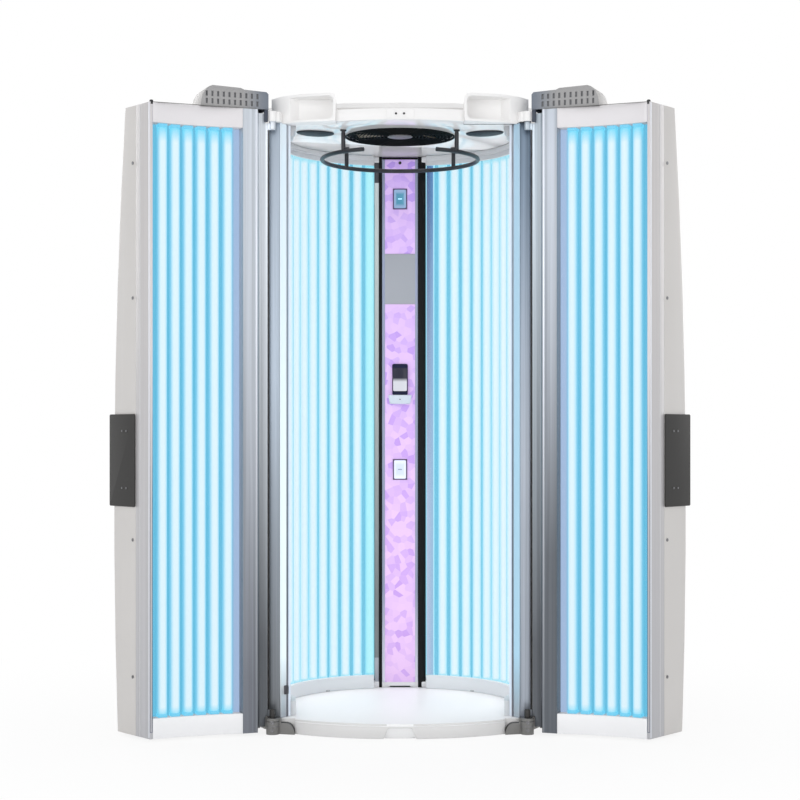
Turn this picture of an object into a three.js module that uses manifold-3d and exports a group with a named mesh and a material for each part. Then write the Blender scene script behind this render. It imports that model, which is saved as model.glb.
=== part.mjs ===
// Vertical tanning booth: a round lamp cabin with two lamp doors that swing open like wings.
// Millimetres, +Z up, +Y to the back; the origin is on the floor under the axis of the cabin.
import * as THREE from "three";
import { mergeVertices } from "three/addons/utils/BufferGeometryUtils.js";
import Module from "manifold-3d";

const wasm = await Module();
wasm.setup();
const degrees = THREE.MathUtils.degToRad;

// Clearances
const gap = 0.3;
const slidingGap = 0.5;
const swingClearance = 6;
const cutOver = 1;

// Facets of the round pieces
const roundSteps = 20;
const skinSteps = 14;
const lipSteps = 16;
const crownSteps = 8;
const lampSides = 8;
const fanSides = 18;
const pinSides = 16;
const ringSteps = 24;

// Platform, skirts and feet
const baseHeight = 50;
const skinBottom = 5;
const skirtHeight = 50;
const skirtThickness = 18;
const upperSkirtHeight = 35;
const upperSkirtStep = 8;
const lipRound = 6;
const lipRoundHeight = 8;
const scoopWidth = 110;
const scoopTopWidth = 76;
const scoopDepth = 22;
const scoopHeight = 36;
const footHeight = 55;
const footWidth = 75;
const footRoundWidth = 28;
const footRoundHeight = 38;
const footLedgeWidth = 41;

// Column at the back of the cabin, with its stack of fittings from the floor up
const panelBottom = 70;
const lowerKeyHeight = 879;
const shelfRise = 249;
const shelfHeight = 34;
const displayHeight = 118;
const controlPlateRise = 228;
const controlPlateHeight = 191;
const upperKeyRise = 209;
const ceilingRise = 160;
const columnInset = 1;
const columnDepth = 46;
const columnSideGap = 2.5;
const panelHalfWidth = 68;
const panelThickness = 3;
const controlPlateThickness = 4;
const controlPlateCorner = 6;
const railProud = 3;
const leftRailWidth = 12;
const airStripWidth = 16;
const airStripBorder = 4;
const airSlotCount = 16;
const airSlotHeight = 90;
const keyWidth = 53;
const keyHeight = 78;
const keyCorner = 5;
const keyProud = 2.4;
const keyThickness = 12;
const keyTravel = 1.5;
const keyRunOut = 4;
const shelfWidth = 90;
const shelfReach = 26;
const shelfTaper = 0.86;
const displayWidth = 59;
const displayThickness = 9;
const displayCorner = 6;

// Cabin round, measured from the axis
const cabinRadius = 421;
const acrylicThickness = 3;
const acrylicEdgeAngle = 4;
const lampDiameter = 34;
const lampClearance = 4;
const lampEndAngle = 15.6;
const columnLampGap = 1.7;
const lampHolderMargin = 2.9;
const lampHolderHeight = 22;
const lampHolderEndAngle = 2.6;
const lampSocketDepth = 6;
const sideLampCount = 16;
const reflectorThickness = 2;
const skinStandoff = 66;
const skinThickness = 3;

// Rear service box
const rearBoxHalfWidth = 300;
const rearBoxDepth = 600;
const rearBoxAngle = 38;
const trayShare = 0.73;
const trayThickness = 3;
const trayInset = 60;
const trayTopGap = 168;
const ballastRows = 6;
const ballastWidth = 150;
const ballastDepth = 42;
const ballastHeight = 210;
const ballastSpacing = 60;
const inletHeight = 220;
const inletFlange = 70;
const inletThickness = 4;
const inletRadius = 26;
const inletReach = 18;
const inletWall = 4;

// Front of the cabin
const uprightInset = 90.2;
const uprightWidth = 35;
const uprightLead = 41.4;
const uprightDepth = 67;
const trimStandoff = 1.7;
const trimAngle = 126.6;
const lipLead = 108;
const lipRadius = 650;

// Ceiling, fascia and roof
const ceilingThickness = 8;
const fasciaSetback = 38;
const fasciaThickness = 6;
const fasciaDrop = 4;
const fasciaRise = 34;
const roofWall = 6;
const roofShoulderRise = 88;
const roofCrownRise = 114;
const roofInset = 13.5;
const roofCrest = 120;
const roofTaper = 0.95;

// Hinges and doors
const pivotInset = 13;
const pivotLead = 25;
const knuckleRadius = 22;
const knuckleClearance = 2;
const upperKnuckleRadius = 14;
const barrelRadius = 10;
const barrelLength = 28;
const pinRadius = 5;
const pinEngagement = 20;
const pinEndGap = 3;
const doorOpenAngle = 22;
const doorClosedAngle = 16.5;
const doorReach = 424;
const doorBottom = 8;
const doorRise = 40;
const doorStripHeight = 67;
const windowStart = 104;
const doorHingeEdge = 16;
const hingeSetback = 6;
const hingeFaceEnd = 46;
const hingeFaceRise = 18;
const hingeFaceDrop = 13;
const profileWall = 4;
const outerLipWidth = 10;
const sideProfileDepth = 91;
const faceSag = 15;
const doorLampCount = 6;
const doorLampMargin = 47;
const doorLampEndMargin = 38;
const doorLampSeat = 2;
const doorHolderEnd = 6;
const shellWall = 4;
const shellHingeDepth = 140;
const shellDepthTop = 166;
const shellDepthMiddle = 238;
const shellDepthBottom = 217;
const shellCornerRadius = 10;
const shellRearBow = 12;
const handleHeight = 310;
const handleMiddle = 925;
const handleWidth = 166;
const handleThickness = 5;
const handleCorner = 6;

// Vent hood on top of each door
const hoodLength = 237;
const hoodStart = 13;
const hoodHeight = 70;
const hoodFront = 5;
const hoodBack = 118;
const hoodWall = 3;
const hoodRound = 42;
const hoodBulge = 62;
const hoodLean = 5;
const hoodStepOuter = 97;
const hoodStepInner = 86;
const hoodStepDrop = 8;
const hoodCorner = 7;
const hoodTopFall = 3;
const slotsPerRow = 10;
const slotWidth = 7;
const slotHeight = 17.5;
const slotStart = 35.5;
const slotEndMargin = 5.5;
const lowerSlotRise = 8;
const upperSlotDrop = 37;

// Ceiling fittings
const fanCenterY = -45;
const fanGrilleRadius = 192;
const grilleRingCount = 4;
const grilleRingWidth = 5;
const grilleSpokeCount = 6;
const grilleThickness = 6;
const grilleHubInset = 4;
const rotorGap = 10;
const fanHubRadius = 48;
const fanHubHeight = 26;
const fanBladeCount = 7;
const fanTipGap = 14;
const bladePitch = 25;
const bladeChord = 70;
const bladeThickness = 3;
const bladeRoot = 6;
const shaftRadius = 6;
const shaftStop = 2;
const motorRadius = 42;
const motorGap = 6;
const ringRadius = 278;
const ringTubeRadius = 7.5;
const ringDrop = 75;
const ringGapAngle = 26.8;
const ringPostAngle = 45;
const ringFlangeRadius = 16;
const ringFlangeThickness = 4;
const speakerInset = 95;
const speakerAngle = 114.7;
const speakerLength = 140;
const speakerWidth = 100;
const speakerDepth = 9;
const speakerTurn = 27;

// Corner housings that carry the upper hinges
const housingSetback = 28;
const housingBevel = 62;
const housingWidth = 186;
const housingDepth = 35;
const housingDrop = 4;
const housingRise = 90;
const housingCorner = 22;
const housingBorder = 9;
const pocketDepth = 54;
const pocketBevel = 54;
const pocketCorner = 16;
const pocketFloor = 3;
const lipStandoff = 2;
const cornerStep = 5;
const armThickness = 34;

// Heights that follow from the stack
const shelfBottom = lowerKeyHeight + shelfRise;
const shelfTop = shelfBottom + shelfHeight;
const controlPlateBottom = shelfTop + displayHeight + controlPlateRise;
const controlPlateTop = controlPlateBottom + controlPlateHeight;
const upperKeyHeight = controlPlateTop + upperKeyRise;
const ceilingUnderside = upperKeyHeight + ceilingRise;
const ceilingTop = ceilingUnderside + ceilingThickness;
const skirtFloor = baseHeight + gap;
const skinTop = ceilingUnderside - gap;
const ringHeight = ceilingUnderside - ringDrop;
const doorTop = ceilingUnderside + doorRise;
const housingFloor = ceilingUnderside + gap;
const housingTop = ceilingUnderside + housingRise;

// Radii that follow from the acrylic wall outwards
const lampRadius = lampDiameter / 2;
const lampCircleRadius = cabinRadius + acrylicThickness + lampClearance + lampRadius;
const holderInner = cabinRadius + acrylicThickness + 3 * gap;
const holderOuter = lampCircleRadius + lampRadius + lampHolderMargin;
const reflectorInner = holderOuter + gap;
const reflectorOuter = reflectorInner + reflectorThickness;
const skinRadius = reflectorOuter + skinStandoff;
const columnFace = cabinRadius - columnInset;
const columnHalfWidth = panelHalfWidth + leftRailWidth + airStripWidth + 2 * gap;

// Front places that follow from the skin
const uprightOuter = skinRadius - uprightInset;
const skinInside = skinRadius - skinThickness / 2;
const skinFront = Math.sqrt(skinInside ** 2 - (uprightOuter + gap) ** 2);
const uprightFront = skinFront + uprightLead;
const uprightInner = uprightOuter - uprightWidth;
const pivotX = uprightOuter - pivotInset;
const pivotY = -uprightFront - pivotLead;
const lipDistance = lipLead - pivotY;
const footInner = pivotX - footWidth;
const housingOuter = pivotX - housingSetback;
const housingEdge = housingOuter - housingBevel;
const housingInner = housingOuter - housingWidth;
const housingBack = uprightFront - housingDepth;

// Finishes
const finishes = {
  white: [0xd8d3ce, 0.35, 0],
  trimWhite: [0xeeeeee, 0.3, 0],
  aluminium: [0xaab0b8, 0.35, 1],
  acrylic: [0xdff2ff, 0.05, 0],
  lamp: [0xe6f7ff, 0.4, 0],
  reflector: [0xb8d8ee, 0.2, 1],
  lilac: [0xdcc0fa, 0.3, 0],
  plate: [0xb2b6be, 0.4, 0],
  black: [0x1e2024, 0.4, 0],
  beige: [0xd8cfc0, 0.6, 0],
  grey: [0x8c8a8a, 0.5, 0],
  darkGrey: [0x504e4c, 0.5, 0],
  steel: [0x9a9ea3, 0.3, 1],
};

// Solids and meshes
function solidOf(geometry) {
  const bare = geometry.clone();
  bare.deleteAttribute("normal");
  bare.deleteAttribute("uv");
  const merged = mergeVertices(bare, 1e-4);
  const vertProperties = new Float32Array(merged.attributes.position.array);
  const triVerts = new Uint32Array(merged.index.array);
  return new wasm.Manifold(new wasm.Mesh({ numProp: 3, vertProperties, triVerts }));
}

function geometryOf(solid) {
  const mesh = solid.getMesh();
  const geometry = new THREE.BufferGeometry();
  geometry.setAttribute("position", new THREE.BufferAttribute(mesh.vertProperties, 3));
  geometry.setIndex(new THREE.BufferAttribute(mesh.triVerts, 1));
  return geometry;
}

function joined(solids) {
  return solids.reduce((whole, solid) => whole.add(solid));
}

function mirrored(geometry, axis) {
  const flipped = geometry.index ? geometry.toNonIndexed() : geometry.clone();
  flipped.scale(axis === "x" ? -1 : 1, axis === "y" ? -1 : 1, 1);
  const positions = flipped.attributes.position;
  for (let corner = 0; corner < positions.count; corner += 3) {
    const second = new THREE.Vector3().fromBufferAttribute(positions, corner + 1);
    const third = new THREE.Vector3().fromBufferAttribute(positions, corner + 2);
    positions.setXYZ(corner + 1, third.x, third.y, third.z);
    positions.setXYZ(corner + 2, second.x, second.y, second.z);
  }
  return flipped;
}

function addPiece(group, name, shape, finish) {
  const geometry = shape.isBufferGeometry ? shape : geometryOf(shape);
  const [color, roughness, metalness] = finishes[finish];
  const material = new THREE.MeshStandardMaterial({ color, roughness, metalness });
  const mesh = new THREE.Mesh(geometry, material);
  mesh.name = name;
  group.add(mesh);
}

// Plans and sections
const point = (x, y) => new THREE.Vector2(x, y);

function extruded(points, bottom, top, holes = []) {
  const shape = new THREE.Shape(points);
  holes.forEach((hole) => shape.holes.push(new THREE.Path(hole)));
  const geometry = new THREE.ExtrudeGeometry(shape, { depth: top - bottom, bevelEnabled: false });
  return geometry.translate(0, 0, bottom);
}

function box(xFrom, xTo, yFrom, yTo, zFrom, zTo) {
  const geometry = new THREE.BoxGeometry(xTo - xFrom, yTo - yFrom, zTo - zFrom);
  return solidOf(geometry.translate((xFrom + xTo) / 2, (yFrom + yTo) / 2, (zFrom + zTo) / 2));
}

function cylinder(radius, x, y, bottom, top, sides = pinSides) {
  const geometry = new THREE.CylinderGeometry(radius, radius, top - bottom, sides);
  return solidOf(geometry.rotateX(Math.PI / 2).translate(x, y, (bottom + top) / 2));
}

// A point of the cabin round, by its angle from the back on the right-hand side
function around(radius, angle) {
  return point(radius * Math.sin(degrees(angle)), radius * Math.cos(degrees(angle)));
}

function arc(radius, from, to, steps) {
  return Array.from({ length: steps + 1 }, (_, i) => around(radius, from + ((to - from) * i) / steps));
}

function band(innerRadius, outerRadius, from, to, steps, bottom, top) {
  const outline = [...arc(outerRadius, from, to, steps), ...arc(innerRadius, to, from, steps)];
  return solidOf(extruded(outline.reverse(), bottom, top));
}

// A line of points moved sideways, to its left for a positive distance
function offsetLine(points, distance) {
  return points.map((current, i) => {
    const before = points[Math.max(i - 1, 0)];
    const after = points[Math.min(i + 1, points.length - 1)];
    const into = (i ? current.clone().sub(before) : after.clone().sub(current)).normalize();
    const out = (i < points.length - 1 ? after.clone().sub(current) : into.clone()).normalize();
    const across = into.clone().add(out).normalize();
    const reach = distance / across.dot(into);
    return point(current.x - across.y * reach, current.y + across.x * reach);
  });
}

// A bent sheet that follows a line in plan
function sheet(points, thickness, bottom, top) {
  const right = offsetLine(points, -thickness / 2);
  const left = offsetLine(points, thickness / 2).reverse();
  return solidOf(extruded([...right, ...left], bottom, top));
}

// A closed solid through plan sections of equal point count, one for each level
function loft(plans, levels) {
  const clockwise = THREE.ShapeUtils.isClockWise(plans[0]);
  const sections = plans.map((plan) => (clockwise ? [...plan].reverse() : plan));
  const count = sections[0].length;
  const positions = [];
  const index = [];
  sections.forEach((section, i) => section.forEach((p) => positions.push(p.x, p.y, levels[i])));
  for (let level = 0; level < levels.length - 1; level += 1) {
    for (let i = 0; i < count; i += 1) {
      const a = level * count + i;
      const b = level * count + ((i + 1) % count);
      index.push(a, b, b + count, a, b + count, a + count);
    }
  }
  const lastLevel = (levels.length - 1) * count;
  const bottomFaces = THREE.ShapeUtils.triangulateShape(sections[0], []);
  const topFaces = THREE.ShapeUtils.triangulateShape(sections.at(-1), []);
  bottomFaces.forEach(([a, b, c]) => index.push(c, b, a));
  topFaces.forEach(([a, b, c]) => index.push(a + lastLevel, b + lastLevel, c + lastLevel));
  const geometry = new THREE.BufferGeometry();
  geometry.setAttribute("position", new THREE.Float32BufferAttribute(positions, 3));
  geometry.setIndex(index);
  return solidOf(geometry);
}

// Flat plates that stand upright: an outline in width and height, with its depth along Y
function plate(points, front, back) {
  const shape = new THREE.Shape(points);
  const geometry = new THREE.ExtrudeGeometry(shape, { depth: back - front, bevelEnabled: false });
  return solidOf(geometry.rotateX(Math.PI / 2).translate(0, back, 0));
}

function roundedRectangle(width, height, radius, x, z) {
  const corners = [[1, 1], [-1, 1], [-1, -1], [1, -1]];
  return corners.flatMap(([sideways, upward], corner) =>
    Array.from({ length: 5 }, (_, i) => {
      const turn = degrees(corner * 90 + i * 22.5);
      const centerX = x + sideways * (width / 2 - radius);
      const centerZ = z + upward * (height / 2 - radius);
      return point(centerX + radius * Math.cos(turn), centerZ + radius * Math.sin(turn));
    }),
  );
}

const booth = new THREE.Group();

function addPair(name, solid, finish) {
  const geometry = geometryOf(solid);
  addPiece(booth, `right_${name}`, geometry, finish);
  addPiece(booth, `left_${name}`, mirrored(geometry, "x"), finish);
}

// Outer skin of the cabin in plan, from the upright round the side to the rear box
const skinFrontAngle = 180 - THREE.MathUtils.radToDeg(Math.asin((uprightOuter + gap) / skinInside));
const sideLine = arc(skinRadius, skinFrontAngle, rearBoxAngle, skinSteps);
const rearCorner = around(skinRadius, rearBoxAngle);
const rearHalf = [point(rearCorner.x, rearCorner.y), point(rearBoxHalfWidth, rearBoxDepth)];
const rearLine = [...rearHalf, ...rearHalf.map((p) => point(-p.x, p.y)).reverse()];

function frontArcY(distance, x) {
  return -distance + lipRadius - Math.sqrt(lipRadius ** 2 - x ** 2);
}

function frontArc(distance, halfWidth, steps) {
  return Array.from({ length: steps + 1 }, (_, i) => {
    const x = -halfWidth + (2 * halfWidth * i) / steps;
    return point(x, frontArcY(distance, x));
  });
}

const toLeft = (points) => points.map((p) => point(-p.x, p.y)).reverse();

// Base platform with its curved front lip and a hand scoop in the lip
const footBack = -uprightFront - gap;
const baseInset = skinThickness / 2 + gap;
const baseSide = [
  point(footInner - gap, frontArcY(lipDistance, footInner - gap)),
  point(footInner - gap, footBack),
  point(uprightOuter, footBack),
  ...arc(skinRadius - baseInset, skinFrontAngle, rearBoxAngle, skinSteps),
  ...offsetLine(rearLine, baseInset).slice(0, 2),
];
const baseLip = frontArc(lipDistance, footInner - gap, lipSteps);
const baseOutline = [...baseLip, ...baseSide.slice(1), ...toLeft(baseSide)];
const baseBlock = solidOf(extruded(baseOutline, 0, baseHeight));
const lipTrim = extruded(
  [
    ...frontArc(lipDistance + lipRound, footInner - gap, lipSteps),
    ...frontArc(lipDistance - lipRound, footInner - gap, lipSteps).reverse(),
  ],
  baseHeight - lipRoundHeight,
  baseHeight + lipRoundHeight,
);
function scoopSection(width, depth) {
  const half = width / 2;
  const inside = -lipDistance + depth;
  const outside = -lipDistance - depth;
  return [point(-half, outside), point(half, outside), point(half, inside), point(-half, inside)];
}
const scoopPlans = [scoopSection(scoopWidth, scoopDepth), scoopSection(scoopTopWidth, scoopDepth / 2)];
const scoop = loft(scoopPlans, [-cutOver, scoopHeight]);
addPiece(booth, "base_platform", baseBlock.subtract(solidOf(lipTrim)).subtract(scoop), "trimWhite");

// Foot castings with the lower hinge knuckle and its pin
const flare = degrees(doorClosedAngle);
function doorLineY(x, clearance) {
  return pivotY - (pivotX - x) * Math.tan(flare) + clearance / Math.cos(flare);
}
const footOutline = [
  point(footInner, footBack - gap),
  point(footInner, doorLineY(footInner, swingClearance)),
  point(pivotX - knuckleRadius, doorLineY(pivotX - knuckleRadius, swingClearance)),
  point(pivotX, pivotY),
  point(uprightOuter, pivotY),
  point(uprightOuter, footBack - gap),
];
const footRound = new THREE.Path();
const roundCenter = footInner + footRoundWidth;
footRound.absellipse(roundCenter, 0, footRoundWidth, footRoundHeight, Math.PI, Math.PI / 2, true);
const ledgeStart = uprightOuter - footLedgeWidth;
const footFace = [
  ...footRound.getPoints(6),
  point(ledgeStart, footRoundHeight),
  point(ledgeStart, footHeight),
  point(uprightOuter, footHeight),
  point(uprightOuter, 0),
];
const footCasting = joined([
  solidOf(extruded(footOutline, 0, footHeight)).intersect(plate(footFace, -lipDistance, footBack)),
  cylinder(knuckleRadius, pivotX, pivotY, 0, footHeight),
  cylinder(pinRadius, pivotX, pivotY, footHeight - cutOver, footHeight + gap + pinEngagement),
]);
addPair("lower_hinge_foot", footCasting, "grey");

// Angles of the lamps and of the acrylic in front of them
const acrylicStart = THREE.MathUtils.radToDeg(Math.asin((columnHalfWidth + columnSideGap) / cabinRadius));
const firstLampAngle = THREE.MathUtils.radToDeg(
  Math.asin((columnHalfWidth + columnLampGap + lampRadius) / lampCircleRadius),
);
const lastLampAngle = trimAngle - lampEndAngle;
const lampPitchAngle = (lastLampAngle - firstLampAngle) / (sideLampCount - 1);
const acrylicEnd = lastLampAngle + acrylicEdgeAngle;
// Acrylic wall with a bent flange that runs out to the upright
const acrylicMiddle = cabinRadius + acrylicThickness / 2;
const acrylicLine = arc(acrylicMiddle, acrylicStart, acrylicEnd, roundSteps);
const trimEnd = around(reflectorOuter + trimStandoff, trimAngle);
const flangeRun = trimEnd.clone().sub(acrylicLine.at(-1));
const flangeStop = flangeRun.length() - skinThickness / 2 - gap;
acrylicLine.push(acrylicLine.at(-1).clone().add(flangeRun.setLength(flangeStop)));
addPair("cabin_acrylic", sheet(acrylicLine, acrylicThickness, skirtFloor, skinTop), "acrylic");

// Skirts below and above the lamps, which follow the acrylic out to the upright
const skirtSide = columnHalfWidth + columnSideGap;
function skirtBand(thickness, bottom, top) {
  const outer = offsetLine(acrylicLine, -acrylicThickness / 2 - gap);
  const inner = offsetLine(acrylicLine, -acrylicThickness / 2 - gap - thickness);
  const columnPlace = box(-skirtSide, skirtSide, 0, cabinRadius, bottom - cutOver, top + cutOver);
  return solidOf(extruded([...outer, ...inner.reverse()], bottom, top)).subtract(columnPlace);
}
addPair("lower_skirt", skirtBand(skirtThickness, skirtFloor, skirtFloor + skirtHeight), "trimWhite");
const upperSkirtFloor = skinTop - upperSkirtHeight;
const upperSkirtMiddle = skinTop - upperSkirtHeight / 2;
const upperSkirt = joined([
  skirtBand(skirtThickness - upperSkirtStep, upperSkirtFloor, skinTop),
  skirtBand(skirtThickness, upperSkirtMiddle, skinTop),
]);
addPair("upper_skirt", upperSkirt, "trimWhite");

// Lamp bank: the upright lamps with the socket rails that carry them
const holderStart = THREE.MathUtils.radToDeg(Math.asin((columnHalfWidth + gap) / holderInner));
const holderEnd = lastLampAngle + lampHolderEndAngle;
const lowerHolderTop = skirtFloor + lampHolderHeight;
const upperHolderFloor = skinTop - lampHolderHeight;
const lampBank = [
  band(holderInner, holderOuter, holderStart, holderEnd, roundSteps, skirtFloor, lowerHolderTop),
  band(holderInner, holderOuter, holderStart, holderEnd, roundSteps, upperHolderFloor, skinTop),
];
for (let lamp = 0; lamp < sideLampCount; lamp += 1) {
  const center = around(lampCircleRadius, firstLampAngle + lamp * lampPitchAngle);
  const lampFloor = lowerHolderTop - lampSocketDepth;
  const lampTop = upperHolderFloor + lampSocketDepth;
  lampBank.push(cylinder(lampRadius, center.x, center.y, lampFloor, lampTop, lampSides));
}
addPair("cabin_lamp_bank", joined(lampBank), "lamp");

// Reflector sheet behind the lamps
addPair(
  "cabin_reflector",
  band(reflectorInner, reflectorOuter, holderStart, holderEnd, roundSteps, skirtFloor, skinTop),
  "reflector",
);

// Outer side panels and the rear cover
addPair("side_panel", sheet(sideLine, skinThickness, skinBottom, skinTop), "white");
const coverLine = rearLine.map((p) => p.clone());
const coverStart = coverLine[1].clone().sub(coverLine[0]).setLength(skinThickness + gap);
coverLine[0].add(coverStart);
coverLine[3].add(point(-coverStart.x, coverStart.y));
addPiece(booth, "rear_cover", sheet(coverLine.reverse(), skinThickness, skinBottom, skinTop), "white");

// Ballast tray in the rear box
const columnBack = columnFace + columnDepth;
const traySpace = rearBoxDepth - skinThickness / 2 - columnBack - trayThickness - ballastDepth;
const trayFront = columnBack + trayShare * traySpace;
const trayBack = trayFront + trayThickness;
const trayTop = ceilingUnderside - trayTopGap;
const trayHalfWidth = rearBoxHalfWidth - trayInset;
const ballastTray = [box(-trayHalfWidth, trayHalfWidth, trayFront, trayBack, skirtFloor, trayTop)];
const ballastPitch = (trayTop - skirtFloor) / ballastRows;
for (let row = 0; row < ballastRows; row += 1) {
  const floor = skirtFloor + (row + 0.5) * ballastPitch - ballastHeight / 2;
  [-1, 1].forEach((side) => {
    const middle = (side * (ballastWidth + ballastSpacing)) / 2;
    const from = middle - ballastWidth / 2;
    const to = middle + ballastWidth / 2;
    const block = box(from, to, trayBack - cutOver, trayBack + ballastDepth, floor, floor + ballastHeight);
    ballastTray.push(block);
  });
}
addPiece(booth, "ballast_tray", joined(ballastTray), "steel");

// Power inlet on the rear cover
const inletFace = rearBoxDepth + skinThickness / 2 + gap;
const inletFlangeOutline = roundedRectangle(inletFlange, inletFlange, inletWall, 0, inletHeight);
const flange = plate(inletFlangeOutline, inletFace, inletFace + inletThickness);
const collarShape = new THREE.CylinderGeometry(inletRadius, inletRadius, inletReach, pinSides);
const collar = solidOf(collarShape.translate(0, inletFace + inletReach / 2, inletHeight));
const boreRadius = inletRadius - inletWall;
const socketShape = new THREE.CylinderGeometry(boreRadius, boreRadius, inletReach, pinSides);
const socket = solidOf(socketShape.translate(0, inletFace + inletReach / 2 + inletThickness, inletHeight));
addPiece(booth, "power_inlet", flange.add(collar).subtract(socket), "black");

// Column with its rails, panels and air strip
const housingFront = columnFace + panelThickness + gap;
const railFront = columnFace - railProud;
const railInner = panelHalfWidth + gap;
const keyBack = columnFace - keyProud + keyThickness;
const pocketBack = keyBack + keyTravel + keyRunOut;
function keyOpening(height, front, back) {
  const halfWidth = keyWidth / 2 + slidingGap;
  const halfHeight = keyHeight / 2 + slidingGap;
  return box(-halfWidth, halfWidth, front, back, height - halfHeight, height + halfHeight);
}
const columnHousing = joined([
  box(-columnHalfWidth, columnHalfWidth, housingFront, columnBack, skirtFloor, skinTop),
  box(railInner, columnHalfWidth, railFront, housingFront + cutOver, skirtFloor, skinTop),
  box(-railInner - leftRailWidth, -railInner, railFront, housingFront + cutOver, skirtFloor, skinTop),
])
  .subtract(keyOpening(upperKeyHeight, housingFront - cutOver, pocketBack))
  .subtract(keyOpening(lowerKeyHeight, housingFront - cutOver, pocketBack));
addPiece(booth, "column_housing", columnHousing, "black");

const panelBack = columnFace + panelThickness;
function columnPanel(bottom, top) {
  return box(-panelHalfWidth, panelHalfWidth, columnFace, panelBack, bottom, top);
}
const upperPanel = columnPanel(controlPlateTop + gap, skinTop);
const lowerPanel = columnPanel(panelBottom, controlPlateBottom - gap);
const upperCut = keyOpening(upperKeyHeight, columnFace - cutOver, panelBack + cutOver);
const lowerCut = keyOpening(lowerKeyHeight, columnFace - cutOver, panelBack + cutOver);
addPiece(booth, "upper_column_panel", upperPanel.subtract(upperCut), "lilac");
addPiece(booth, "lower_column_panel", lowerPanel.subtract(lowerCut), "lilac");
const controlOutline = roundedRectangle(
  2 * panelHalfWidth,
  controlPlateHeight,
  controlPlateCorner,
  0,
  (controlPlateTop + controlPlateBottom) / 2,
);
const controlPlate = plate(controlOutline, panelBack - controlPlateThickness, panelBack);
addPiece(booth, "control_plate", controlPlate, "plate");

const stripInner = columnHalfWidth - airStripWidth;
const airSlotPitch = (skinTop - skirtFloor) / airSlotCount;
let airStrip = box(-columnHalfWidth, -stripInner, columnFace, panelBack, skirtFloor, skinTop);
for (let slot = 0; slot < airSlotCount; slot += 1) {
  const floor = skirtFloor + (slot + 0.5) * airSlotPitch - airSlotHeight / 2;
  const from = -columnHalfWidth + airStripBorder;
  const to = -stripInner - airStripBorder;
  airStrip = airStrip.subtract(
    box(from, to, columnFace - cutOver, panelBack + cutOver, floor, floor + airSlotHeight),
  );
}
addPiece(booth, "column_air_strip", airStrip, "beige");

// Push keys that travel into the column
function pushKey(height) {
  return plate(roundedRectangle(keyWidth, keyHeight, keyCorner, 0, height), columnFace - keyProud, keyBack);
}
addPiece(booth, "upper_key", pushKey(upperKeyHeight), "lamp");
addPiece(booth, "lower_key", pushKey(lowerKeyHeight), "lamp");

// Media display standing on its ledge
const shelfBack = columnFace - gap;
function shelfSection(share) {
  const halfWidth = (shelfWidth / 2) * share;
  const front = Array.from({ length: 9 }, (_, i) => {
    const turn = degrees(180 + i * 22.5);
    return point(halfWidth * Math.cos(turn), shelfBack - shelfReach / 2 + (shelfReach / 2) * Math.sin(turn));
  });
  return [...front, point(halfWidth, shelfBack), point(-halfWidth, shelfBack)];
}
const displayShelf = loft([shelfSection(shelfTaper), shelfSection(1)], [shelfBottom, shelfTop]);
addPiece(booth, "display_shelf", displayShelf, "trimWhite");
const displayMiddle = shelfTop + gap + displayHeight / 2;
const displayOutline = roundedRectangle(displayWidth, displayHeight, displayCorner, 0, displayMiddle);
addPiece(booth, "media_display", plate(displayOutline, shelfBack - displayThickness, shelfBack), "black");

// Front uprights, each with a bright inner trim that ends at the acrylic
const uprightLine = [
  point(uprightOuter - skinThickness / 2, -uprightFront + uprightDepth),
  point(uprightOuter - skinThickness / 2, -uprightFront + skinThickness / 2),
  point(uprightInner + skinThickness / 2, -uprightFront + skinThickness / 2),
  trimEnd,
];
addPair("upright", sheet(uprightLine, skinThickness, skirtFloor, skinTop), "aluminium");

// Corner housings with the arm and pin of the upper hinge
const cornerClearance = 2 * swingClearance;
const housingFrontPoints = [
  point(housingEdge, doorLineY(housingEdge, cornerClearance)),
  point(housingInner, doorLineY(housingInner, cornerClearance)),
];
const housingPlan = [
  point(housingInner, -housingBack),
  point(uprightOuter - cornerStep, -housingBack),
  point(housingOuter, cornerStep - uprightFront),
  ...housingFrontPoints,
];
const housingCurve = new THREE.Path();
housingCurve.moveTo(uprightOuter, housingFloor);
housingCurve.lineTo(uprightOuter, housingTop - cornerStep);
housingCurve.lineTo(housingOuter, housingTop);
housingCurve.lineTo(housingInner + housingCorner, housingTop);
housingCurve.quadraticCurveTo(housingInner, housingTop, housingInner, housingTop - housingCorner);
housingCurve.lineTo(housingInner, housingFloor);
const pocketFrom = housingInner + housingBorder;
const pocketTo = housingOuter - cornerStep;
const pocketBase = housingFloor + pocketFloor;
const pocketTop = housingTop - housingBorder;
const pocketOutline = roundedRectangle(
  pocketTo - pocketFrom,
  pocketTop - pocketBase,
  pocketCorner,
  (pocketFrom + pocketTo) / 2,
  (pocketTop + pocketBase) / 2,
);
const pocketRear = doorLineY(housingEdge, cornerClearance) + pocketDepth;
const pocketPlan = [
  point(housingInner, -lipDistance),
  point(pocketTo, -lipDistance),
  point(pocketTo, pocketRear - pocketDepth),
  point(pocketTo - pocketBevel, pocketRear),
  point(housingInner, pocketRear),
];
const pocket = solidOf(extruded(pocketPlan, housingFloor, housingTop)).intersect(
  plate(pocketOutline, -lipDistance, -housingBack),
);
const housingBody = solidOf(extruded(housingPlan, housingFloor, housingTop))
  .intersect(plate(housingCurve.getPoints(6), -lipDistance, -housingBack))
  .subtract(pocket);
const lipBack = -uprightFront - lipStandoff;
const lowerLip = [
  point(housingInner, lipBack),
  point(housingOuter - cornerStep, lipBack),
  ...housingFrontPoints,
];
const armTop = housingFloor + armThickness;
const armPlan = [
  point(housingOuter - lipStandoff, -housingBack),
  point(uprightOuter, -housingBack),
  point(uprightOuter, pivotY),
  point(pivotX, pivotY),
  point(pivotX - knuckleRadius, doorLineY(pivotX - knuckleRadius, swingClearance)),
  point(housingOuter - lipStandoff, -uprightFront - cornerStep),
];
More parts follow.
